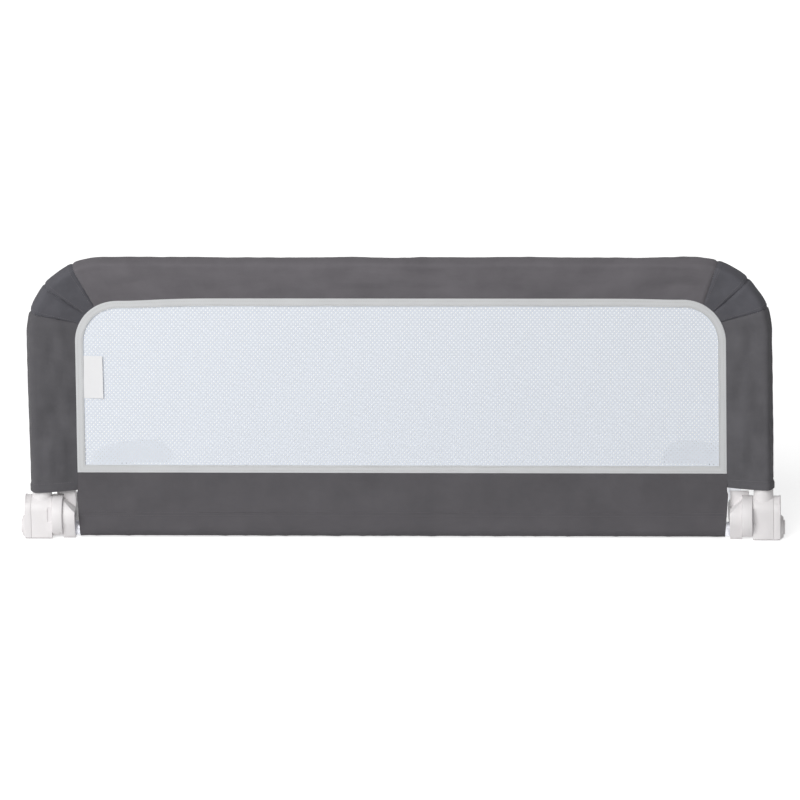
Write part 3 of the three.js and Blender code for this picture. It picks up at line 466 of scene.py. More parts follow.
def cloth_mesh(name, rows, closed=False):
    """A grid of cloth from rows of places in metres, with its UV map in metres."""
    runs, count = len(rows), len(rows[0])
    faces = []
    for i in range(runs if closed else runs - 1):
        for j in range(count if closed else count - 1):
            first, second = i * count, (i + 1) % runs * count
            beside = (j + 1) % count
            faces.append((first + j, first + beside, second + beside, second + j))
    piece = grown(name, [place for row in rows for place in row], faces)
    along, across = [0.0], [0.0]
    middle = count // 2
    for i in range(runs):
        along.append(along[-1] + (rows[(i + 1) % runs][middle] - rows[i][middle]).length)
    half = rows[runs // 2]
    for j in range(count):
        across.append(across[-1] + (half[(j + 1) % count] - half[j]).length)
    uv = piece.data.uv_layers.new(name="cloth")
    for face, polygon in zip(faces, piece.data.polygons):
        i, j = divmod(face[0], count)
        corners = ((i, j), (i, j + 1), (i + 1, j + 1), (i + 1, j))
        for loop, (p, q) in zip(polygon.loop_indices, corners):
            uv.data[loop].uv = (along[p], across[q])
    return piece


def thickened(piece, thickness, offset=-1.0):
    """Gives a sheet its thickness and shades it smooth."""
    facing_out(piece)
    change = piece.modifiers.new("cloth thickness", "SOLIDIFY")
    change.thickness = thickness * MM
    change.offset = offset
    bpy.ops.object.modifier_apply(modifier=change.name)
    return smooth(piece, 50)


def bump_at(place, size, stretch=(1.0, 1.0, 1.0), offset=0.0):
    """Smooth unevenness between about -1 and 1, the same on every run."""
    point = Vector([a * b for a, b in zip(place, stretch)]) / (size * MM)
    return noise.noise(point + Vector((offset, offset * 1.7, offset * 0.6)))


# The dips of the opening's upper edge at its corners: how deep, at which X and how wide.
DIPS = ((3.6, -385, 62), (1.4, 380, 40))


def pulled(x, z):
    """The opening's edge as the sewing pulls it: in at the left side, down at the top corners."""
    if x < 0:
        rise = (z - OPENING_LOW) / (OPENING_TOP - OPENING_LOW)
        x += LEFT_LEAN * rise * min(1.0, -x / LEAN_REACH)
    high = max(0.0, (z - ROUND_Z) / ROUND_HIGH)
    z -= high * sum(deep * math.exp(-(((x - at) / wide) ** 2)) for deep, at, wide in DIPS)
    return x, z


def opening_edge(way, turn, inset=0.0):
    """A place on a rounded upper corner of the opening, its turn measured from straight up."""
    x = way * (ROUND_X + (ROUND_WIDE - inset) * math.sin(turn))
    return pulled(x, ROUND_Z + (ROUND_HIGH - inset) * math.cos(turn))


# One place along the frame: the tube's centre, the way out, the seam at the opening, and the
# distance along the tube.
Station = namedtuple("Station", "tube outward seam along")


# The gores fan out: these turns at the cover's outer edge, and those that they have at the opening.
FAN_OUTER, FAN_INNER = (18.0, 73.0), (29.6, 65.0)
LEFT_SEAMS, RIGHT_SEAMS = (24.0, 50.0, 73.0), (18.0, 44.0, 69.0)
CORNER_STEP, SIDE_STEPS, TOP_STEPS = 1.7, 56, 180


def inner_turn(degrees):
    """The turn at the opening that a turn at the outer edge of the cover belongs to."""
    (first, last), (inner_first, inner_last) = FAN_OUTER, FAN_INNER
    if degrees < first:
        return degrees * inner_first / first
    if degrees > last:
        return inner_last + (degrees - last) * (90 - inner_last) / (90 - last)
    return inner_first + (degrees - first) * (inner_last - inner_first) / (last - first)


def corner_station(way, degrees, along):
    turn = math.radians(degrees)
    outward = Vector((way * math.sin(turn), 0, math.cos(turn)))
    tube = Vector((way * BEND_X, 0, BEND_Z)) + outward * BEND_RADIUS
    x, z = opening_edge(way, math.radians(inner_turn(degrees)))
    return Station(tube, outward, Vector((x, 0, z)), along)


def corner_run(way, first, last, start=0.0):
    """Stations round a corner, from a first to a last turn."""
    steps = max(6, round(abs(last - first) / CORNER_STEP))
    run = []
    for i in range(steps + 1):
        degrees = first + (last - first) * i / steps
        along = start + abs(degrees - first) * math.pi / 180 * (BEND_RADIUS + CLOTH_RADIUS)
        run.append(corner_station(way, degrees, along))
    return run


def side_run(way, last_degrees):
    """Stations from the sleeve's hem up to the lowest corner seam."""
    hem_z = LEFT_HEM_Z if way < 0 else RIGHT_HEM_Z
    run = []
    for i in range(SIDE_STEPS):
        z = hem_z + (BEND_Z - hem_z) * i / SIDE_STEPS
        tube = Vector((way * UPRIGHT_X, 0, z))
        x, seam_z = pulled(way * OPENING_HALF, hem_z + (ROUND_Z - hem_z) * i / SIDE_STEPS)
        run.append(Station(tube, Vector((way, 0, 0)), Vector((x, 0, seam_z)), z - hem_z))
    return run + corner_run(way, 90, last_degrees, BEND_Z - hem_z)


def top_run(left_degrees, right_degrees):
    """Stations along the top, from the highest seam on the left to that on the right."""
    run = corner_run(-1, left_degrees, 0)
    start = run[-1].along
    for i in range(1, TOP_STEPS):
        share = 2 * i / TOP_STEPS - 1
        tube = Vector((share * BEND_X, 0, TUBE_Z))
        x, seam_z = pulled(share * ROUND_X, OPENING_TOP)
        along = start + (share + 1) * BEND_X
        run.append(Station(tube, Vector((0, 0, 1)), Vector((x, 0, seam_z)), along))
    return run + corner_run(1, 0, right_degrees, start + 2 * BEND_X)


# A row of the cover has flat steps at the front, steps round the tube, and flat steps at the back.
FLAT_STEPS, WRAP_STEPS, COLUMN_GAP = 9, 18, 5.5
OUTER_COLUMN = FLAT_STEPS + WRAP_STEPS // 2 + 1

# Front and back of the cover meet its side band in two soft creases along the tube.
CREASE_TURN, CREASE_RISE, CREASE_WIDTH = 64, 2.3, 17

# At a seam the cloth is pinched in and puckers. Away from it the cloth puffs up between tape and
# tube and swells round the tube, with long folds and small ripples.
PINCH, PINCH_REACH = 2.0, 2.3
PUCKER, PUCKER_REACH, PUCKER_RATE = 0.55, 8.0, 0.62
PUFF, PUFF_REACH, SWELL_REACH = 1.3, 9, 10.0
FOLD, FOLD_LONG, FOLD_WIDE = 1.4, 58, 16
RIPPLE, RIPPLE_SIZE = 0.5, 15
STILL, STILL_REACH, STILL_HEM, STILL_TAPE = 0.85, 7, 30, 2.2
SEAM_HOLD, DEEPEST, PANEL_GAP = 0.25, -2.6, 0.03

# The sleeve's hem stands out as a band, with a groove where it is sewn.
BAND, BAND_RISE, BAND_EDGE = 11.5, 0.9, 0.8
GROOVE, GROOVE_AT, GROOVE_HALF = 0.45, 12.0, 2.0

# Folded flat, the back of each sleeve comes to lie just over the arm's socket, so it stays in
# there. The limit eases beyond the socket and towards the tube.
OVER_ARM, ARM_COVER, ARM_EASE, TUBE_SHARE, TUBE_EASE = -0.4, 78, 0.08, 0.6, 20


def cover_section(station):
    """The taut cover at a station: places, their normals and the share of the way to the tube."""
    span = (station.tube - station.seam).length
    wrap = math.pi / 2 + math.asin((CLOTH_RADIUS - SEAM_HALF) / span)
    depth = Vector((0, 1, 0))
    reach = []
    for side in (-1, 1):
        foot = station.seam + depth * (side * SEAM_HALF)
        normal = station.outward * math.cos(side * wrap) + depth * math.sin(side * wrap)
        tangent = station.tube + normal * CLOTH_RADIUS
        shares = [j / FLAT_STEPS for j in range(FLAT_STEPS)]
        reach.append([(foot.lerp(tangent, share), normal, share) for share in shares])
    wrapped = []
    for j in range(WRAP_STEPS + 1):
        turn = wrap * (2 * j / WRAP_STEPS - 1)
        normal = station.outward * math.cos(turn) + depth * math.sin(turn)
        beside = (math.degrees(abs(turn)) - CREASE_TURN) / CREASE_WIDTH
        radius = CLOTH_RADIUS + CREASE_RISE * math.exp(-(beside**2))
        wrapped.append((station.tube + normal * radius, normal, 1.0))
    return reach[0] + wrapped + reach[1][::-1]


def wrinkle(place, along, across, share, near, offset, hem, slack):
    """The height of folds and ripples; they lie down beside a seam, the hem and the tape."""
    if share == 0:
        return 0.0
    fold = noise.noise(Vector((along / FOLD_LONG, across / FOLD_WIDE, offset * 5 + 1.3)))
    height = (FOLD + slack * math.sin(math.pi * share)) * fold
    height += RIPPLE * bump_at(place * MM, RIPPLE_SIZE, offset=offset)
    height *= 1 - STILL * math.exp(-near / STILL_REACH)
    if hem:
        height *= min(1.0, along / STILL_HEM)
    return height * min(1.0, share * STILL_TAPE)


def cover_row(station, length, offset, hem, loose, slack):
    """Places across the cover at one station, from the front seam round the tube to the back."""
    along = station.along
    near = length - along if hem else min(along, length - along)
    pinch = -PINCH * math.exp(-((near / PINCH_REACH) ** 2))
    swell = loose * (1 - math.exp(-near / SWELL_REACH))
    if hem and along < BAND:
        swell = BAND_RISE * min(1.0, (BAND - along) / BAND_EDGE) + max(loose, 0.0)
    if hem and abs(along - GROOVE_AT) < GROOVE_HALF:
        pinch -= GROOVE
    row = []
    for j, (place, normal, share) in enumerate(cover_section(station)):
        across = j * COLUMN_GAP
        wave = math.sin(across * PUCKER_RATE + offset * 3)
        pucker = PUCKER * math.exp(-near / PUCKER_REACH) * wave
        puff = PUFF * math.sin(math.pi * share) if share < 1 else 0.0
        puff *= 1 - math.exp(-near / PUFF_REACH)
        folds = wrinkle(place, along, across, share, near, offset, hem, slack)
        held = SEAM_HOLD if share == 0 else 1.0
        push = (pinch + pucker + folds) * held + puff + swell * min(1.0, share + 0.1)
        if hem and j > FLAT_STEPS + WRAP_STEPS:
            ease = max(0.0, along - ARM_COVER) * ARM_EASE + max(0.0, share - TUBE_SHARE) * TUBE_EASE
            push = min(push, OVER_ARM + ease)
        row.append(spot(*(place + normal * max(push, DEEPEST))))
    return row


def cover_panel(name, run, node, offset, finish, hem=False, loose=-1.4, slack=1.8):
    """One panel of the cover, sewn along a run of stations; gives its rows."""
    length = run[-1].along
    rows = [cover_row(station, length, offset, hem, loose, slack) for station in run]
    ends = [(rows[-1], rows[-2])] if hem else [(rows[0], rows[1]), (rows[-1], rows[-2])]
    for row, next_row in ends:
        for j, place in enumerate(row):
            row[j] = place + (next_row[j] - place).normalized() * (PANEL_GAP * MM)
    middle = rows[len(rows) // 2]
    width = sum((b - a).length for a, b in zip(middle, middle[1:]))
    run_length = sum((b[OUTER_COLUMN] - a[OUTER_COLUMN]).length for a, b in zip(rows, rows[1:]))
    area = sum(
        ((b[j] - a[j]).cross(a[j + 1] - a[j])).length
        for a, b in zip(rows, rows[1:])
        for j in range(len(a) - 1)
    )
    piece = thickened(cloth_mesh(name, rows), 0.8)
    dressed(piece, finish, "rail", node)
    return rows


def covers():
    """The fabric sleeve round the frame, panel by panel; gives the rows of the side panels."""
    run = top_run(LEFT_SEAMS[0], RIGHT_SEAMS[0])
    cover_panel("top_cloth", run, "top_cover", 0.4, "grey_fabric")
    made = {}
    for side, way, seams, offset, loose in (
        ("left", -1, LEFT_SEAMS, 1.0, 0.6),
        ("right", 1, RIGHT_SEAMS, 2.3, -0.7),
    ):
        for i, (level, more) in enumerate((("upper", 0.3), ("lower", 0.7))):
            made[f"{level}_{side}"] = cover_panel(
                f"{level}_gore_cloth_{side}",
                corner_run(way, seams[i + 1], seams[i]),
                f"{level}_gore_{side}",
                offset + more,
                "gore_fabric",
                loose=-0.5,
                slack=4.2,
            )
        made[f"side_{side}"] = cover_panel(
            f"side_sleeve_{side}",
            side_run(way, seams[2]),
            f"side_cover_{side}",
            offset,
            "sleeve_fabric",
            hem=True,
            loose=loose,
            slack=6.0,
        )
    return made


# Sewing thread


STITCH_PITCH, STITCH_LONG, STITCH_WIDE, STITCH_LIFT = 3.4, 2.3, 0.45, 0.05


def one_stitch():
    """A single thread stitch, long along X, as places and faces to be copied."""
    bpy.ops.mesh.primitive_cube_add(size=1)
    piece = settle("stitch")
    with editing(piece) as mesh:
        mesh.bevel(offset=0.2, segments=1, affect="EDGES")
    places = [vertex.co.copy() for vertex in piece.data.vertices]
    faces = [tuple(face.vertices) for face in piece.data.polygons]
    bpy.data.objects.remove(piece)
    return places, faces


STITCH = one_stitch()


def stitched(name, lines):
    """Rows of stitches along lines; a line is a list of (place, outward normal) in metres."""
    vertices, faces = [], []
    for line in lines:
        travelled = 0.0
        due = STITCH_PITCH * MM / 2
        for (a, na), (b, nb) in zip(line, line[1:]):
            step = (b - a).length
            while due <= travelled + step and step > 0:
                share = (due - travelled) / step
                along = (b - a).normalized()
                out = na.lerp(nb, share).normalized()
                side = along.cross(out).normalized()
                middle = a.lerp(b, share) + out * (STITCH_LIFT * MM)
                base = len(vertices)
                for place in STITCH[0]:
                    vertices.append(
                        middle
                        + along * (place.x * STITCH_LONG * MM)
                        + side * (place.y * STITCH_WIDE * MM)
                        + out * (place.z * STITCH_WIDE * MM)
                    )
                faces.extend(tuple(base + k for k in face) for face in STITCH[1])
                due += STITCH_PITCH * MM
            travelled += step
    piece = grown(name, vertices, faces)
    take(piece)
    bpy.ops.object.shade_smooth()
    return piece


def row_line(rows, index, columns):
    """A line across one row of the cover, with the cloth's outward normals."""
    row, beside = rows[index], rows[index - 1 if index > 0 else index + 1]
    centre = sum(row, Vector()) / len(row)
    line = []
    for j in columns:
        tangent = row[min(j + 1, len(row) - 1)] - row[max(j - 1, 0)]
        out = tangent.cross(beside[j] - row[j]).normalized()
        if out.dot(row[j] - centre) < 0:
            out = -out
        line.append((row[j], out))
    return line


def cover_stitches(made):
    """Top stitching beside the corner seams and round the sleeve hems."""
    columns = range(1, FLAT_STEPS * 2 + WRAP_STEPS)
    lines = []
    for side in ("left", "right"):
        for panel, index in (("upper", 2), ("upper", -3), ("lower", 2), ("side", 3)):
            lines.append(row_line(made[f"{panel}_{side}"], index, columns))
    dressed(stitched("cover_stitching", lines), "grey_thread", "rail")


# Pale tape round the mesh


def opening_places(inset, step=6.0):
    """The opening's outline drawn in by an inset, counter-clockwise from its lower left corner."""
    half, low, high = OPENING_HALF - inset, OPENING_LOW + inset, OPENING_TOP - inset
    across = int(2 * OPENING_HALF / step)
    up = int((ROUND_Z - OPENING_LOW) / step)
    over = int(2 * ROUND_X / step)
    turns = [math.pi / 2 * i / 16 for i in range(17)]
    places = [(-half + 2 * half * i / across, low) for i in range(across)]
    places += [(half, low + (ROUND_Z - low) * i / up) for i in range(up)]
    places = [pulled(x, z) for x, z in places]
    places += [opening_edge(1, turn, inset) for turn in turns[:0:-1]]
    places += [pulled(ROUND_X - 2 * ROUND_X * i / over, high) for i in range(over)]
    places += [opening_edge(-1, turn, inset) for turn in turns[:-1]]
    places += [pulled(-half, ROUND_Z - (ROUND_Z - low) * i / up) for i in range(up)]
    return places


# The front of the tape's section from its outer to its inner edge, as inset and Y. The back is
# the same mirrored.
TAPE_SECTION = (
    *((-0.7, -1.5), (-0.3, -2.1), (1.6, -2.35), (3.0, -2.15), (5.3, -2.5), (7.6, -2.2)),
    *((8.6, -2.35), (9.1, -1.7), (9.9, -2.6), (10.3, -2.1), (10.5, -1.0)),
)
TAPE_WAVE, TAPE_WAVE_SIZE = 0.35, 22
TAPE_SEAMS, TAPE_SEAM_Y, TAPE_SEAM_STEP = (2.9, 7.7), 2.25, 5.0


def tape():
    section = TAPE_SECTION + tuple((inset, -y) for inset, y in reversed(TAPE_SECTION))
    rings = [opening_places(inset) for inset, _ in section]
    rows = []
    for i in range(len(rings[0])):
        row = []
        for ring, (_, y) in zip(rings, section):
            x, z = ring[i]
            place = spot(x, y, z)
            place.y += TAPE_WAVE * MM * bump_at(place, TAPE_WAVE_SIZE) * (1 if y < 0 else -1)
            row.append(place)
        rows.append(row)
    piece = smooth(facing_out(cloth_mesh("mesh_tape", rows, closed=True)), 45)
    dressed(piece, "tape_fabric", "rail", "mesh_binding")
    lines = []
    for side in (-1, 1):
        for inset in TAPE_SEAMS:
            ring = opening_places(inset, TAPE_SEAM_STEP)
            out = Vector((0, side, 0))
            lines.append([(spot(x, side * TAPE_SEAM_Y, z), out) for x, z in ring + ring[:1]])
    dressed(stitched("tape_stitching", lines), "tape_thread", "rail")


# Knitted mesh


# Yarns stand a pitch apart and turn at every row. They are wider than deep, and lie to the front.
NET_PITCH, NET_ROW = 2.95, 3.3
NET_WIDE, NET_DEEP, NET_Y = 4.0, 0.5, -0.8
NET_TOUCH, NET_WEAVE, NET_SAG, NET_SAG_SIZE = 0.35, 0.12, 0.8, 90
NET_TUCK = 3.0


def net_limits(x):
    """The lowest and highest place of the net at a place across, tucked under the tape."""
    tuck = TAPE_WIDTH - 4.0
    beyond = max(0.0, abs(x) - ROUND_X) / (ROUND_WIDE - tuck)
    high = ROUND_Z + (ROUND_HIGH - tuck) * math.sqrt(max(0.0, 1 - beyond**2))
    return OPENING_LOW + tuck, pulled(x, high)[1]


def net():
    """Zigzag yarns side by side that touch at every turn, so that lozenge holes are left."""
    vertices, faces = [], []
    half = OPENING_HALF - TAPE_WIDTH + NET_TUCK
    count = int(half / NET_PITCH)
    for k in range(-count, count + 1):
        low, high = net_limits(k * NET_PITCH)
        last_ring = None
        for row in range(math.ceil(low / NET_ROW), math.floor(high / NET_ROW) + 1):
            z = row * NET_ROW
            x = k * NET_PITCH + (1 if (row + k) % 2 else -1) * (NET_PITCH / 2 - NET_TOUCH)
            y = NET_Y + NET_SAG * bump_at(spot(x, 0, z), NET_SAG_SIZE, offset=4.0)
            y += NET_WEAVE * math.sin(row * 2.1 + k * 0.7)
            ring = len(vertices)
            for across, deep in ((-0.5, 0.0), (0.0, -0.5), (0.5, 0.0), (0.0, 0.5)):
                vertices.append(spot(x + across * NET_WIDE, y + deep * NET_DEEP, z))
            if last_ring is None:
                faces.append((ring + 3, ring + 2, ring + 1, ring))
            else:
                for j in range(4):
                    n = (j + 1) % 4
                    faces.append((last_ring + j, last_ring + n, ring + n, ring + j))
            last_ring = ring
        faces.append(tuple(last_ring + j for j in range(4)))
    piece = facing_out(grown("mesh_net", vertices, faces))
    dressed(piece, "net_fabric", "rail", "mesh_panel")
    high = OPENING_TOP - OPENING_LOW - 2 * TAPE_WIDTH + 2 * NET_TUCK
    high * MM


LABEL_X, LABEL_Z, LABEL_WIDE, LABEL_HIGH = -439.6, 200.0, 28.4, 61.0
LABEL_LIFT, LABEL_CURL, LABEL_WAVE = 1.3, 1.6, 0.35


def label():
    """A bare folded label, sewn on at its left edge."""
    rows = []
    for i in range(25):
        up = i / 24
        row = []
        for j in range(11):
            over = j / 10
            lift = LABEL_LIFT + LABEL_CURL * over**2 + LABEL_WAVE * math.sin(up * 5 + over * 2)
            row.append(spot(LABEL_X + LABEL_WIDE * over, -lift, LABEL_Z + LABEL_HIGH * up))
        rows.append(row)
    piece = thickened(cloth_mesh("label_cloth", rows), 0.5, 0.0)
    dressed(piece, "label_fabric", "rail", "label_tab")


# Lower panel and crossbar hem in one cloth


# Its section as Y and Z: under the tape, a bellied stretch in steps, round the crossbar, and up
# to the hem's seam. The steps up to FRONT_STEPS face forward.
UNDER_TAPE = ((-1.0, 96.0), (-1.2, 93.0), (-1.9, 91.5), (-2.0, 89.0))
BELLY_STEPS, BELLY_CURVE = 17, 1.9
HEM_START, HEM_STEPS = len(UNDER_TAPE) + BELLY_STEPS - 1, 15
HEM_LIFT, HEM_FIRST, HEM_ROUND, HEM_TANGENT = 0.9, 78.5, 230.0, (0.98, 0.199)
HEM_SEAM, SEAM_STEPS = (-7.0, 36.5), 6
FRONT_STEPS, LOWER_COLUMNS = HEM_START + 2, 160

# Above SEWN_Z it is sewn to the sleeves, and below FREE_Z it is drawn in towards the crossbar.
SEWN_Z, FREE_Z = 68, 62
SEWN_HALF, FREE_HALF, DRAWN_IN = 450.4, 452.0, 4.7 / 60

# Waves as height, size, stretch and offset. They fade below the tape and above the crossbar.
LOWER_WAVES = ((2.4, 60, (1.0, 0.0, 0.55), 2.0), (0.8, 20, (1.0, 0.0, 0.5), 3.0))
TAPE_HOLD_Z, TAPE_FADE, BAR_HOLD_Z, BAR_FADE, BAR_FREE = 92, 12, 40, 16, 0.2
SIDE_PULL, SIDE_REACH, SIDE_RATE = 0.7, 7, 5.0
TAPE_PUCKER, TAPE_PUCKER_RATE, TAPE_PUCKER_Z, TAPE_PUCKER_REACH = 0.4, 3.1, 90, 5
HEM_FOLD, HEM_FOLD_SIZE, HEM_GROOVE = 1.1, 12, 0.3


def hem_turn(step):
    """The angle round the crossbar, from straight up over the front, of one of the hem's steps."""
    return math.radians(HEM_FIRST + HEM_ROUND * step / (HEM_STEPS - 1))


def lower_profile():
    """Places in Y and Z down the front, round the crossbar and up to the hem's seam."""
    radius = CROSSBAR_RADIUS + HEM_LIFT
    profile = list(UNDER_TAPE)
    top_y, top_z = profile[-1]
    tangent = (CROSSBAR_Y - radius * HEM_TANGENT[0], CROSSBAR_Z + radius * HEM_TANGENT[1])
    for i in range(1, BELLY_STEPS):
        share = i / BELLY_STEPS
        y = top_y + (tangent[0] - top_y) * share**BELLY_CURVE
        profile.append((y, top_z + (tangent[1] - top_z) * share))
    for i in range(HEM_STEPS):
        turn = hem_turn(i)
        profile.append((CROSSBAR_Y - radius * math.sin(turn), CROSSBAR_Z + radius * math.cos(turn)))
    end = profile[-1]
    for i in range(1, SEAM_STEPS + 1):
        share = i / SEAM_STEPS
        profile.append(tuple(a + (b - a) * share for a, b in zip(end, HEM_SEAM)))
    return profile


def lower_half_width(z):
    """Sewn to the sleeves above their hems, free and drawn in towards the crossbar below."""
    if z > SEWN_Z:
        return SEWN_HALF
    if z > FREE_Z:
        return SEWN_HALF + (FREE_HALF - SEWN_HALF) * (SEWN_Z - z) / (SEWN_Z - FREE_Z)
    return FREE_HALF - DRAWN_IN * (FREE_Z - z)


def lower_push(j, x, z, place, edge):
    """How far the lower cloth stands out: soft waves, puckers at the tape, pulls at the sides."""
    free = max(0.0, min(1.0, (TAPE_HOLD_Z - z) / TAPE_FADE))
    free *= max(BAR_FREE, min(1.0, (z - BAR_HOLD_Z) / BAR_FADE))
    push = free * sum(wave[0] * bump_at(place, *wave[1:]) for wave in LOWER_WAVES)
    if 30 < z < 90:
        push += SIDE_PULL * math.exp(-edge / SIDE_REACH) * math.sin(z / SIDE_RATE)
    if j < FRONT_STEPS:
        near = math.exp(-abs(z - TAPE_PUCKER_Z) / TAPE_PUCKER_REACH)
        push += TAPE_PUCKER * near * math.sin(x / TAPE_PUCKER_RATE)
        if abs(z - HEM_SEAM[1]) < 2.0:
            push -= HEM_GROOVE
    return push


def lower_cloth():
    profile = lower_profile()
    rows = []
    for i in range(LOWER_COLUMNS + 1):
        across = 2 * i / LOWER_COLUMNS - 1
        edge = (1 - abs(across)) * OPENING_HALF
        row = []
        for j, (y, z) in enumerate(profile):
            x = across * lower_half_width(z)
            place = spot(x, y, z)
            forward = -1 if j < FRONT_STEPS else 0.2
            place.y += forward * lower_push(j, x, z, place, edge) * MM
            if HEM_START <= j < HEM_START + HEM_STEPS:
                turn = hem_turn(j - HEM_START)
                fold = HEM_FOLD * max(0.0, bump_at(place, HEM_FOLD_SIZE, offset=5.0))
                out = Vector((0, -math.sin(turn), math.cos(turn)))
                place += out * (fold * math.sin(turn / 2) ** 2 * MM)
            row.append(place)
        rows.append(row)
    piece = thickened(cloth_mesh("lower_cloth", rows), 0.7)
    dressed(piece, "lower_fabric", None, "lower_panel", "crossbar_hem")
    spot(0, 0, 30)
    spot(0, 0, 70)
    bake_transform(piece)
    lines = []
    front = Vector((0, -1, 0.2)).normalized()
    for target in (HEM_SEAM[1], HEM_SEAM[1] - 3):
        j = min(range(FRONT_STEPS), key=lambda k: abs(profile[k][1] - target))
        lines.append([(row[j] + front * 0.2 * MM, front) for row in rows])
    thread = stitched("hem_stitching", lines)
    dressed(thread, "grey_thread", None)
    spot(0, 0, 30)
    spot(0, 0, 70)
    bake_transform(thread)


# Hinges


def housing_outline(x, inset=0.0):
    """The side view that housing and cap share, as places in one plane across the rail."""
    half = HOUSING_HALF - inset
    floor = HOUSING_FLOOR + inset
    corner = floor + HOUSING_CHAMFER
    points = [(-half, corner), (-half + HOUSING_CHAMFER, floor), (half - HOUSING_CHAMFER, floor)]
    points += [(half, corner)]
    points += arc((0, PIVOT_Z + DISC_RADIUS - HOUSING_HALF), half, 0, 180, 40)
    return [(x, y, z) for y, z in points]


def housing():
    """The shell with the upright's socket, a scoop at its inner edge and the button's pocket."""
    body = plate("housing_right", housing_outline(HOUSING_IN), (HOUSING_OUT - HOUSING_IN, 0, 0))
    low, high = (UPRIGHT_X, 0, PIVOT_Z + 9), (UPRIGHT_X, 0, SOCKET_TOP)
    joined(body, bar("socket", SOCKET_RADIUS, low, high, 96))
    softened(body, 0.9)
    low, high = (HOUSING_IN, -HOUSING_HALF - 3, SCOOP_Z), (HOUSING_IN, SCOOP_FLOOR_Y, SCOOP_Z)
    scoop = bar("scoop", SCOOP_RADIUS, low, high)
    low, high = (HOUSING_IN - SCOOP_HALF, -40, 0), (HOUSING_IN + SCOOP_HALF, 0, 80)
    shaped(body, shaped(scoop, block("scoop_part", low, high), "INTERSECT"))
    shaped(body, bar("bore", SOCKET_BORE, (UPRIGHT_X, 0, SOCKET_FLOOR), (UPRIGHT_X, 0, 90)))
    low, high = (UPRIGHT_X, 0, UPRIGHT_SCREW_Z), (UPRIGHT_X, 30, UPRIGHT_SCREW_Z)
    shaped(body, bar("hole", SCREW_ROOM, low, high, 24))
    pocket = HOUSING_OUT - BUTTON_POCKET
    shaped(body, axle("pocket", BUTTON_ROOM, pocket, HOUSING_OUT + 1, LOCK_AT, 96))
    return smooth(body)


def outer_cap():
    """The cap with a lip over its top and a bulge round the button."""
    body = plate("cap_right", housing_outline(CAP_IN), (CAP_OUT - CAP_IN, 0, 0))
    lip = plate("lip", housing_outline(CAP_OUT - 2.2, -0.6), (1.6, 0, 0))
    clip = block("clip", (CAP_IN, -60, PIVOT_Z + 22), (CAP_OUT, 60, 90))
    joined(body, shaped(lip, clip, "INTERSECT"))
    softened(body, 1.1)
    low, high = (CAP_OUT - 0.8, *LOCK_AT), (BULGE_OUT, *LOCK_AT)
    bulge = cone("bulge", BULGE_FOOT, BULGE_TOP, low, high)
    under = block("under", (CAP_OUT - 2, -60, -30), (BUTTON_OUT, 60, HOUSING_FLOOR))
    shaped(bulge, under)
    sides = block("sides", (CAP_OUT - 2, -HOUSING_HALF, -30), (BUTTON_OUT, HOUSING_HALF, 90))
    shaped(bulge, sides, "INTERSECT")
    joined(body, softened(bulge, 1.0))
    shaped(body, axle("hole", BUTTON_ROOM, CAP_IN - 1, BUTTON_OUT + 1, LOCK_AT, 96))
    shaped(body, axle("well", WELL_RADIUS, CAP_OUT - 2.5, BUTTON_OUT, CAP_SCREW_AT, 48))
    return smooth(body)


def button():
    """The button, its face dished inside a rim."""
    body = axle("button_right_body", BUTTON_RADIUS, CAP_IN + 0.6, BUTTON_OUT, LOCK_AT, 96)
    with editing(body, lambda normal: normal.x > 0.9) as mesh:
        mesh.inset(thickness=2.4 * MM)
        mesh.inset(thickness=0.5 * MM, depth=-0.5 * MM)
        mesh.inset(thickness=2.0 * MM, depth=-0.25 * MM)
    return softened(body, 0.6)


def disc():
    """The disc, hollowed towards the housing, with the bolt's bore."""
    body = axle("disc_right", DISC_RADIUS, DISC_IN, DISC_OUT, sides=128)
    with editing(body, lambda normal: normal.x > 0.9) as mesh:
        mesh.inset(thickness=4.7 * MM)
        mesh.extrude_region_move(TRANSFORM_OT_translate={"value": (-2.3 * MM, 0, 0)})
    shaped(body, axle("bolt_bore", BOLT_ROOM, DISC_IN - 2, DISC_OUT + 2, sides=48))
    return softened(body, 1.4)


def arm_place(along, x=0.0, z=0.0):
    """A place on the arm's axis at a distance behind the rail's plane, toed in."""
    lean = math.atan2(ARM_TOE_IN, ARM_END - ARM_Y)
    run = along - ARM_Y
    place_x = ARM_X - run * math.sin(lean) + x * math.cos(lean)
    place_y = ARM_Y + run * math.cos(lean) + x * math.sin(lean)
    return (place_x, place_y, ARM_Z + z)


def arm_sleeve(name, radius, under, start, end):
    """A sleeve round the arm tube with a flat underside."""
    points = [(-radius, -under), (radius, -under)] + arc((0, 0), radius, 0, 180, 32)
    outline = [arm_place(start, x, z) for x, z in points]
    return plate(name, outline, Vector(arm_place(end)) - Vector(arm_place(start)))


def drilled(body, along, seat):
    """Bores a hole for a screw from below, and a well for its head up to its seat."""
    for height, radius in ((0.0, SCREW_ROOM), (seat, WELL_RADIUS)):
        low, high = arm_place(along, 0, -ARM_Z - 3), arm_place(along, 0, height)
        shaped(body, bar("screw_hole", radius, low, high, 32))


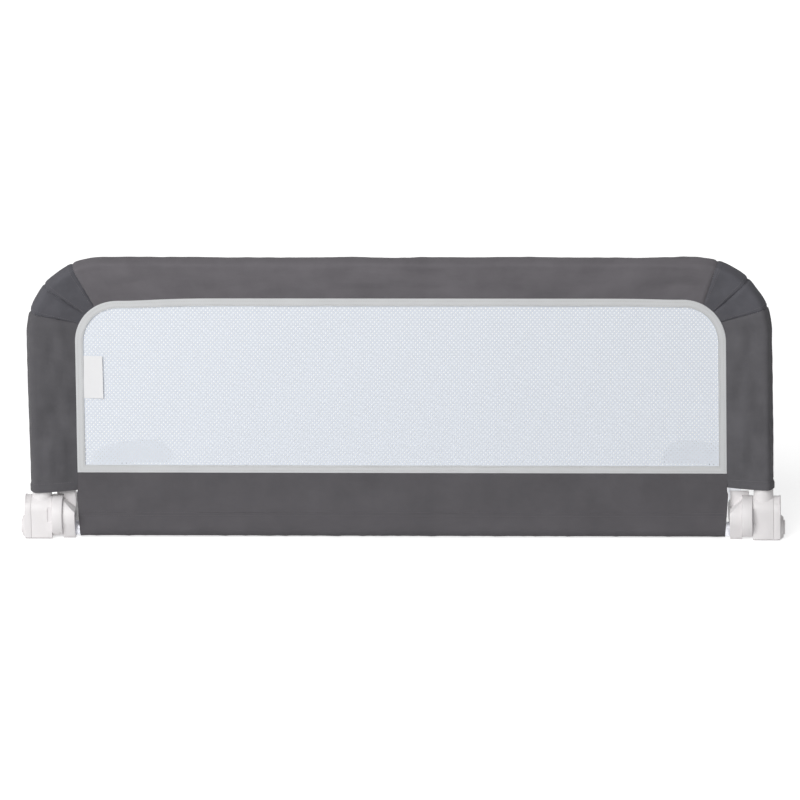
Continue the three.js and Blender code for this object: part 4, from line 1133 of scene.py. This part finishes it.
def knuckle():
    """The knuckle: two rounds in one side view, a sloped shoulder, a root and the arm's socket."""
    way = (PIVOT_AT[0] - CROSSBAR_AT[0], PIVOT_AT[1] - CROSSBAR_AT[1])
    axis = math.degrees(math.atan2(way[1], way[0]))
    spread = math.degrees(math.acos((KNUCKLE_LOW - KNUCKLE_HIGH) / math.hypot(*way)))
    profile = arc(CROSSBAR_AT, KNUCKLE_LOW, axis + spread, axis - spread + 360, 30)
    profile += arc(PIVOT_AT, KNUCKLE_HIGH, axis - spread, axis + spread, 48)
    outline = [(KNUCKLE_IN, y, z) for y, z in profile]
    body = plate("knuckle_right", outline, (KNUCKLE_OUT - KNUCKLE_IN, 0, 0))
    slope = [
        (KNUCKLE_IN - 1, -60, PIVOT_Z + 9),
        (KNUCKLE_OUT + 1, -60, PIVOT_Z + KNUCKLE_HIGH + 1),
        (KNUCKLE_OUT + 1, -60, 90),
        (KNUCKLE_IN - 1, -60, 90),
    ]
    shaped(body, plate("slope", slope, (0, 60 + ROOT_FRONT, 0)))
    turns = [math.degrees(math.acos(y / ROOT_RADIUS)) for y in (ROOT_BACK, ROOT_FRONT)]
    rise = [(ROOT_FRONT, -1), (ROOT_BACK, -1)] + arc(PIVOT_AT, ROOT_RADIUS, *turns, 20)
    joined(body, plate("root", [(KNUCKLE_IN + 0.4, y, z) for y, z in rise], (ROOT_WIDTH, 0, 0)))
    joined(body, arm_sleeve("socket", ARM_RADIUS + SOCKET_WALL, ARM_Z + 1, ARM_Y, SOCKET_END))
    shaped(body, block("ground", (400, -60, -20), (520, 160, 0)))
    shaped(body, axle("room", DISC_RADIUS + 0.3, KNUCKLE_OUT, 520, sides=128))
    softened(body, 0.9)
    shaped(body, axle("hole", CROSSBAR_RADIUS + 0.3, 440, 469.2, CROSSBAR_AT))
    shaped(body, axle("pocket", NUT_ROOM, 440, KNUCKLE_IN + 8.3))
    shaped(body, axle("bolt", BOLT_ROOM, 440, 500, sides=32))
    shaped(body, bar("tube", ARM_RADIUS + ARM_ROOM, arm_place(31.7), arm_place(120)))
    drilled(body, ARM_SCREW_ALONG, -ARM_Z + 1.5)
    return smooth(body)


def foot_outline(inset, z):
    """The foot seen from above: along the arm, round the heel and inwards to the toe."""
    heel, back, front = HEEL_X - inset, FOOT_BACK - inset, FOOT_FRONT + inset
    toe, outer, inner = TOE_X + inset + TOE_ROUND, HEEL_ROUND - inset, INNER_ROUND + inset
    inner_x, start = FOOT_X - BLADE_HALF + inset, BLADE_START + inset
    points = [(inner_x, start), (heel, start)]
    points += arc((heel - outer, back - outer), outer, 0, 90, 24)
    points += arc((toe, back - TOE_ROUND), TOE_ROUND, 90, 180, 10)
    points += arc((toe, front + TOE_ROUND), TOE_ROUND, 180, 270, 10)
    points += arc((inner_x - inner, front - inner), inner, 90, 0, 20)
    return [(x, y, z) for x, y in points]


# What is cut off above the foot's toe, as X from the toe and Z.
TOE_RAMP = (
    *((-1, FOOT_FLOOR), (0, FOOT_FLOOR + 1.5), (3.5, FOOT_FLOOR + 9.0)),
    *((11, FOOT_TOP - 5.2), (23, FOOT_TOP - 0.6), (34, FOOT_TOP), (34, 40), (-1, 40)),
)


def foot():
    body = plate("foot_shape_right", foot_outline(0, FOOT_FLOOR), (0, 0, FOOT_TOP - FOOT_FLOOR))
    radius = ARM_RADIUS + 2.5
    joined(body, arm_sleeve("foot_sleeve", radius, radius, BLADE_START - 53, BLADE_START + 1))
    shaped(body, plate("ramp", [(TOE_X + x, 300, z) for x, z in TOE_RAMP], (0, 100, 0)))
    softened(body, 1.6)
    shaped(body, bar("tube", ARM_RADIUS + ARM_ROOM, arm_place(200), arm_place(ARM_END + 0.3)))
    drilled(body, FOOT_SCREW_ALONG, -10.4)
    return smooth(body)


PAD_INSET, PAD_HIGH = 2.5, 3.0
PAD_GROOVES, PAD_FIRST, PAD_PITCH, PAD_GROOVE_WIDE, PAD_GROOVE_DEEP = 12, 12, 8.0, 1.6, 0.9


def pad():
    """The rubber pad under a foot, with grooves across it."""
    body = plate("foot_pad_right", foot_outline(PAD_INSET, 0.0), (0, 0, PAD_HIGH))
    for i in range(PAD_GROOVES):
        x = TOE_X + PAD_FIRST + i * PAD_PITCH
        shaped(body, block("groove", (x, 300, -1), (x + PAD_GROOVE_WIDE, 380, PAD_GROOVE_DEEP)))
    return softened(body, 0.4, 2)


def tube_with_mouths(name, radius, start, end):
    """A drawn tube: the ends are inset and pushed in, so that they show its wall."""
    body = bar(name, radius, start, end)
    axis = (spot(*end) - spot(*start)).normalized()
    with editing(body, lambda normal: abs(normal.dot(axis)) > 0.9) as mesh:
        mesh.inset(thickness=TUBE_WALL * MM, use_individual=True)
        mesh.inset(thickness=0.05 * MM, depth=-MOUTH_DEPTH * MM, use_individual=True)
    return softened(body, 0.25, 2)


def cross_screw(place, outward, height, reach):
    """A pan head screw with a cross recess; its shank reaches in from its seat."""
    centre, out = Vector(place), Vector(outward)
    body = bar("screw", SCREW_HEAD, centre, centre + out * height, 40)
    softened(body, height * 0.42)
    shank = bar("shank", SCREW_SHANK, centre - out * reach, centre + out * (height / 2), 24)
    joined(body, shank)
    across = Vector((0, 0, 1)) if abs(out.z) < 0.5 else Vector((0, 1, 0))
    other = out.cross(across)
    for long, short in ((across, other), (other, across)):
        half = long * (SCREW_HEAD * 0.62) + short * (SCREW_HEAD * 0.13)
        ends = (centre - half + out * (height * 0.45), centre + half + out * (height + 1))
        low, high = [[pick(pair) for pair in zip(*ends)] for pick in (min, max)]
        shaped(body, block("slot", low, high))
    return smooth(body)


def nut():
    """A hexagon nut with a chamfered face, in the knuckle's pocket."""
    place = KNUCKLE_IN + 8.0
    body = axle("nut_right", NUT_RADIUS, place - 6, place, sides=6)
    trim = cone("trim", 6.9, 5.2, (place - 3, *PIVOT_AT), (place - 6.4, *PIVOT_AT), 64)
    joined(trim, axle("rest", 6.9, place - 3.2, place + 1))
    shaped(body, trim, "INTERSECT")
    shaped(body, axle("thread", 4.05, place - 8, place + 2, sides=48))
    return softened(body, 0.3, 2)


def in_pairs(piece, name, finish, body, node):
    """Finishes a right piece and its mirrored left twin."""
    piece.name = f"{name}_right"
    other = twin(piece, f"{name}_left")
    for side, one in (("right", piece), ("left", other)):
        dressed(one, finish, body.format(side=side), f"{node}_{side}")


def hinges_and_arms():
    for make, name, body, node in (
        (housing, "hinge_shell", "rail", "hinge_housing"),
        (outer_cap, "cap_shell", "rail", "outer_cap"),
        (button, "push_button", "button_{side}", "release_button"),
        (disc, "hinge_plate", "base", "hinge_disc"),
        (knuckle, "knuckle_shell", "base", "arm_knuckle"),
        (foot, "foot_shell", "base", "foot"),
    ):
        in_pairs(make(), name, "white_plastic", body, node)
    in_pairs(pad(), "foot_pad", "grip_rubber", "base", "grip_pad")
    arm = tube_with_mouths("arm", ARM_RADIUS, arm_place(32), arm_place(ARM_END))
    in_pairs(arm, "arm_pipe", "plated_tube", "base", "arm_tube")
    reach = KNUCKLE_IN + 14.7
    low, high = (-reach, *CROSSBAR_AT), (reach, *CROSSBAR_AT)
    cross = tube_with_mouths("cross_pipe", CROSSBAR_RADIUS, low, high)
    dressed(cross, "plated_tube", "base", "crossbar")


def fasteners():
    """Screws, by name, body, node, seat, way out, height of the head and reach, and the nuts."""
    back, down = (0, 1, 0), (0, 0, -1)
    cap_seat = (CAP_OUT - 2.2, *CAP_SCREW_AT)
    upright_seat = (UPRIGHT_X, 13.9, UPRIGHT_SCREW_Z)
    arm_seat = arm_place(ARM_SCREW_ALONG, 0, -ARM_Z + 1.35)
    foot_seat = arm_place(FOOT_SCREW_ALONG, 0, -10.65)
    for name, body, node, seat, out, height, reach in (
        ("cap_fixing", "rail", "cap_screw", cap_seat, (1, 0, 0), 1.9, 16),
        ("upright_fixing", "rail", "upright_screw", upright_seat, back, 1.9, 6),
        ("arm_fixing", "base", "arm_screw", arm_seat, down, 1.0, 5),
        ("foot_fixing", "base", "foot_screw", foot_seat, down, 1.0, 5),
    ):
        in_pairs(cross_screw(seat, out, height, reach), name, "steel_parts", body, node)
    in_pairs(nut(), "pivot_nut_shape", "steel_parts", "base", "pivot_nut")


# The finish of a node that stays, by the first of these words that is in its name
NODE_FINISH = (
    ("tube", "plated_tube"),
    ("crossbar", "plated_tube"),
    ("button", "white_plastic"),
    ("", "steel_parts"),
)


def dress_nodes():
    """The nodes that stay are inner pieces: tubes, bolts, plates, springs and pins."""
    for name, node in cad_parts.items():
        if node.hide_render:
            continue
        finish = next(kind for word, kind in NODE_FINISH if word in name)
        node.data.materials.clear()
        node.data.materials.append(finishes[finish])


# Camera, floor and light


PICTURE, DISTANCE, PIXEL = 800, 12.0, 1.3804
TILT, SWING, ROLL = math.radians(16.93), math.radians(3.67), -0.0172
VIEW_MIDDLE, VIEW_SHIFT = (0, 0, 200), (0.4, 2.35, 0)
FLOOR_GLOW, SKY_LEVEL = 0.70, 0.21


def camera():
    """The photograph's view: from far away, a little above and to the right."""
    across = math.cos(TILT)
    ahead = Vector((-math.sin(SWING) * across, math.cos(SWING) * across, -math.sin(TILT)))
    lens = bpy.data.cameras.new("camera")
    lens.lens = lens.sensor_width * DISTANCE / (PICTURE * MM * PIXEL)
    eye = added("camera", lens)
    turn = ahead.to_track_quat("-Z", "Y")
    aim = spot(*VIEW_MIDDLE) - turn @ Vector(VIEW_SHIFT) * MM
    eye.location = aim - ahead * DISTANCE
    eye.rotation_euler = (turn.to_matrix() @ Matrix.Rotation(ROLL, 3, "Z")).to_euler()
    bpy.context.scene.camera = eye


def lamp(name, kind, place, aim, power):
    """A lamp at a place that shines towards another; gives its light."""
    light = bpy.data.lights.new(name, kind)
    light.energy = power
    holder = added(name, light)
    holder.location = place
    holder.rotation_euler = (Vector(aim) - Vector(place)).to_track_quat("-Z", "Y").to_euler()
    return light


def studio():
    """A white floor and sky that light the object plainly, one wide sun and one soft lamp."""
    bpy.ops.mesh.primitive_plane_add(size=24, location=(0, 4, -0.0004))
    floor = settle("floor")
    ground = Finish("white_floor", Roughness=0.9, Specular_IOR_Level=0.1, Emission_Strength=1.0)
    ground.colour(ground.grain(ground.on_object(), 3.0), (0.79, 0.79, 0.79), (0.81, 0.81, 0.81))
    ground.feed(ground.shader.inputs["Emission Color"], ground.seen_white() * FLOOR_GLOW)
    floor.data.materials.append(ground.material)
    world = bpy.data.worlds.new("studio")
    bpy.context.scene.world = world
    world.use_nodes = True
    sky = Nodes(world.node_tree)
    back = sky.tree.nodes["Background"]
    back.inputs["Color"].default_value = (1, 1, 1, 1)
    sky.feed(back.inputs["Strength"], sky.seen_white() * (1 - SKY_LEVEL) + SKY_LEVEL)
    sun = lamp("sky_lamp", "SUN", (-1.75, -3.37, 2.7), (0, -0.17, 0.2), 1.70)
    sun.angle = math.radians(45)
    soft = lamp("key_lamp", "AREA", (-1.05, -1.75, 1.1), (-0.25, -0.17, 0.25), 8)
    soft.shape = "DISK"
    soft.size = 0.8


camera()
studio()
cover_stitches(covers())
tape()
net()
label()
lower_cloth()
hinges_and_arms()
fasteners()
dress_nodes()
bpy.context.scene.view_settings.view_transform = "Standard"
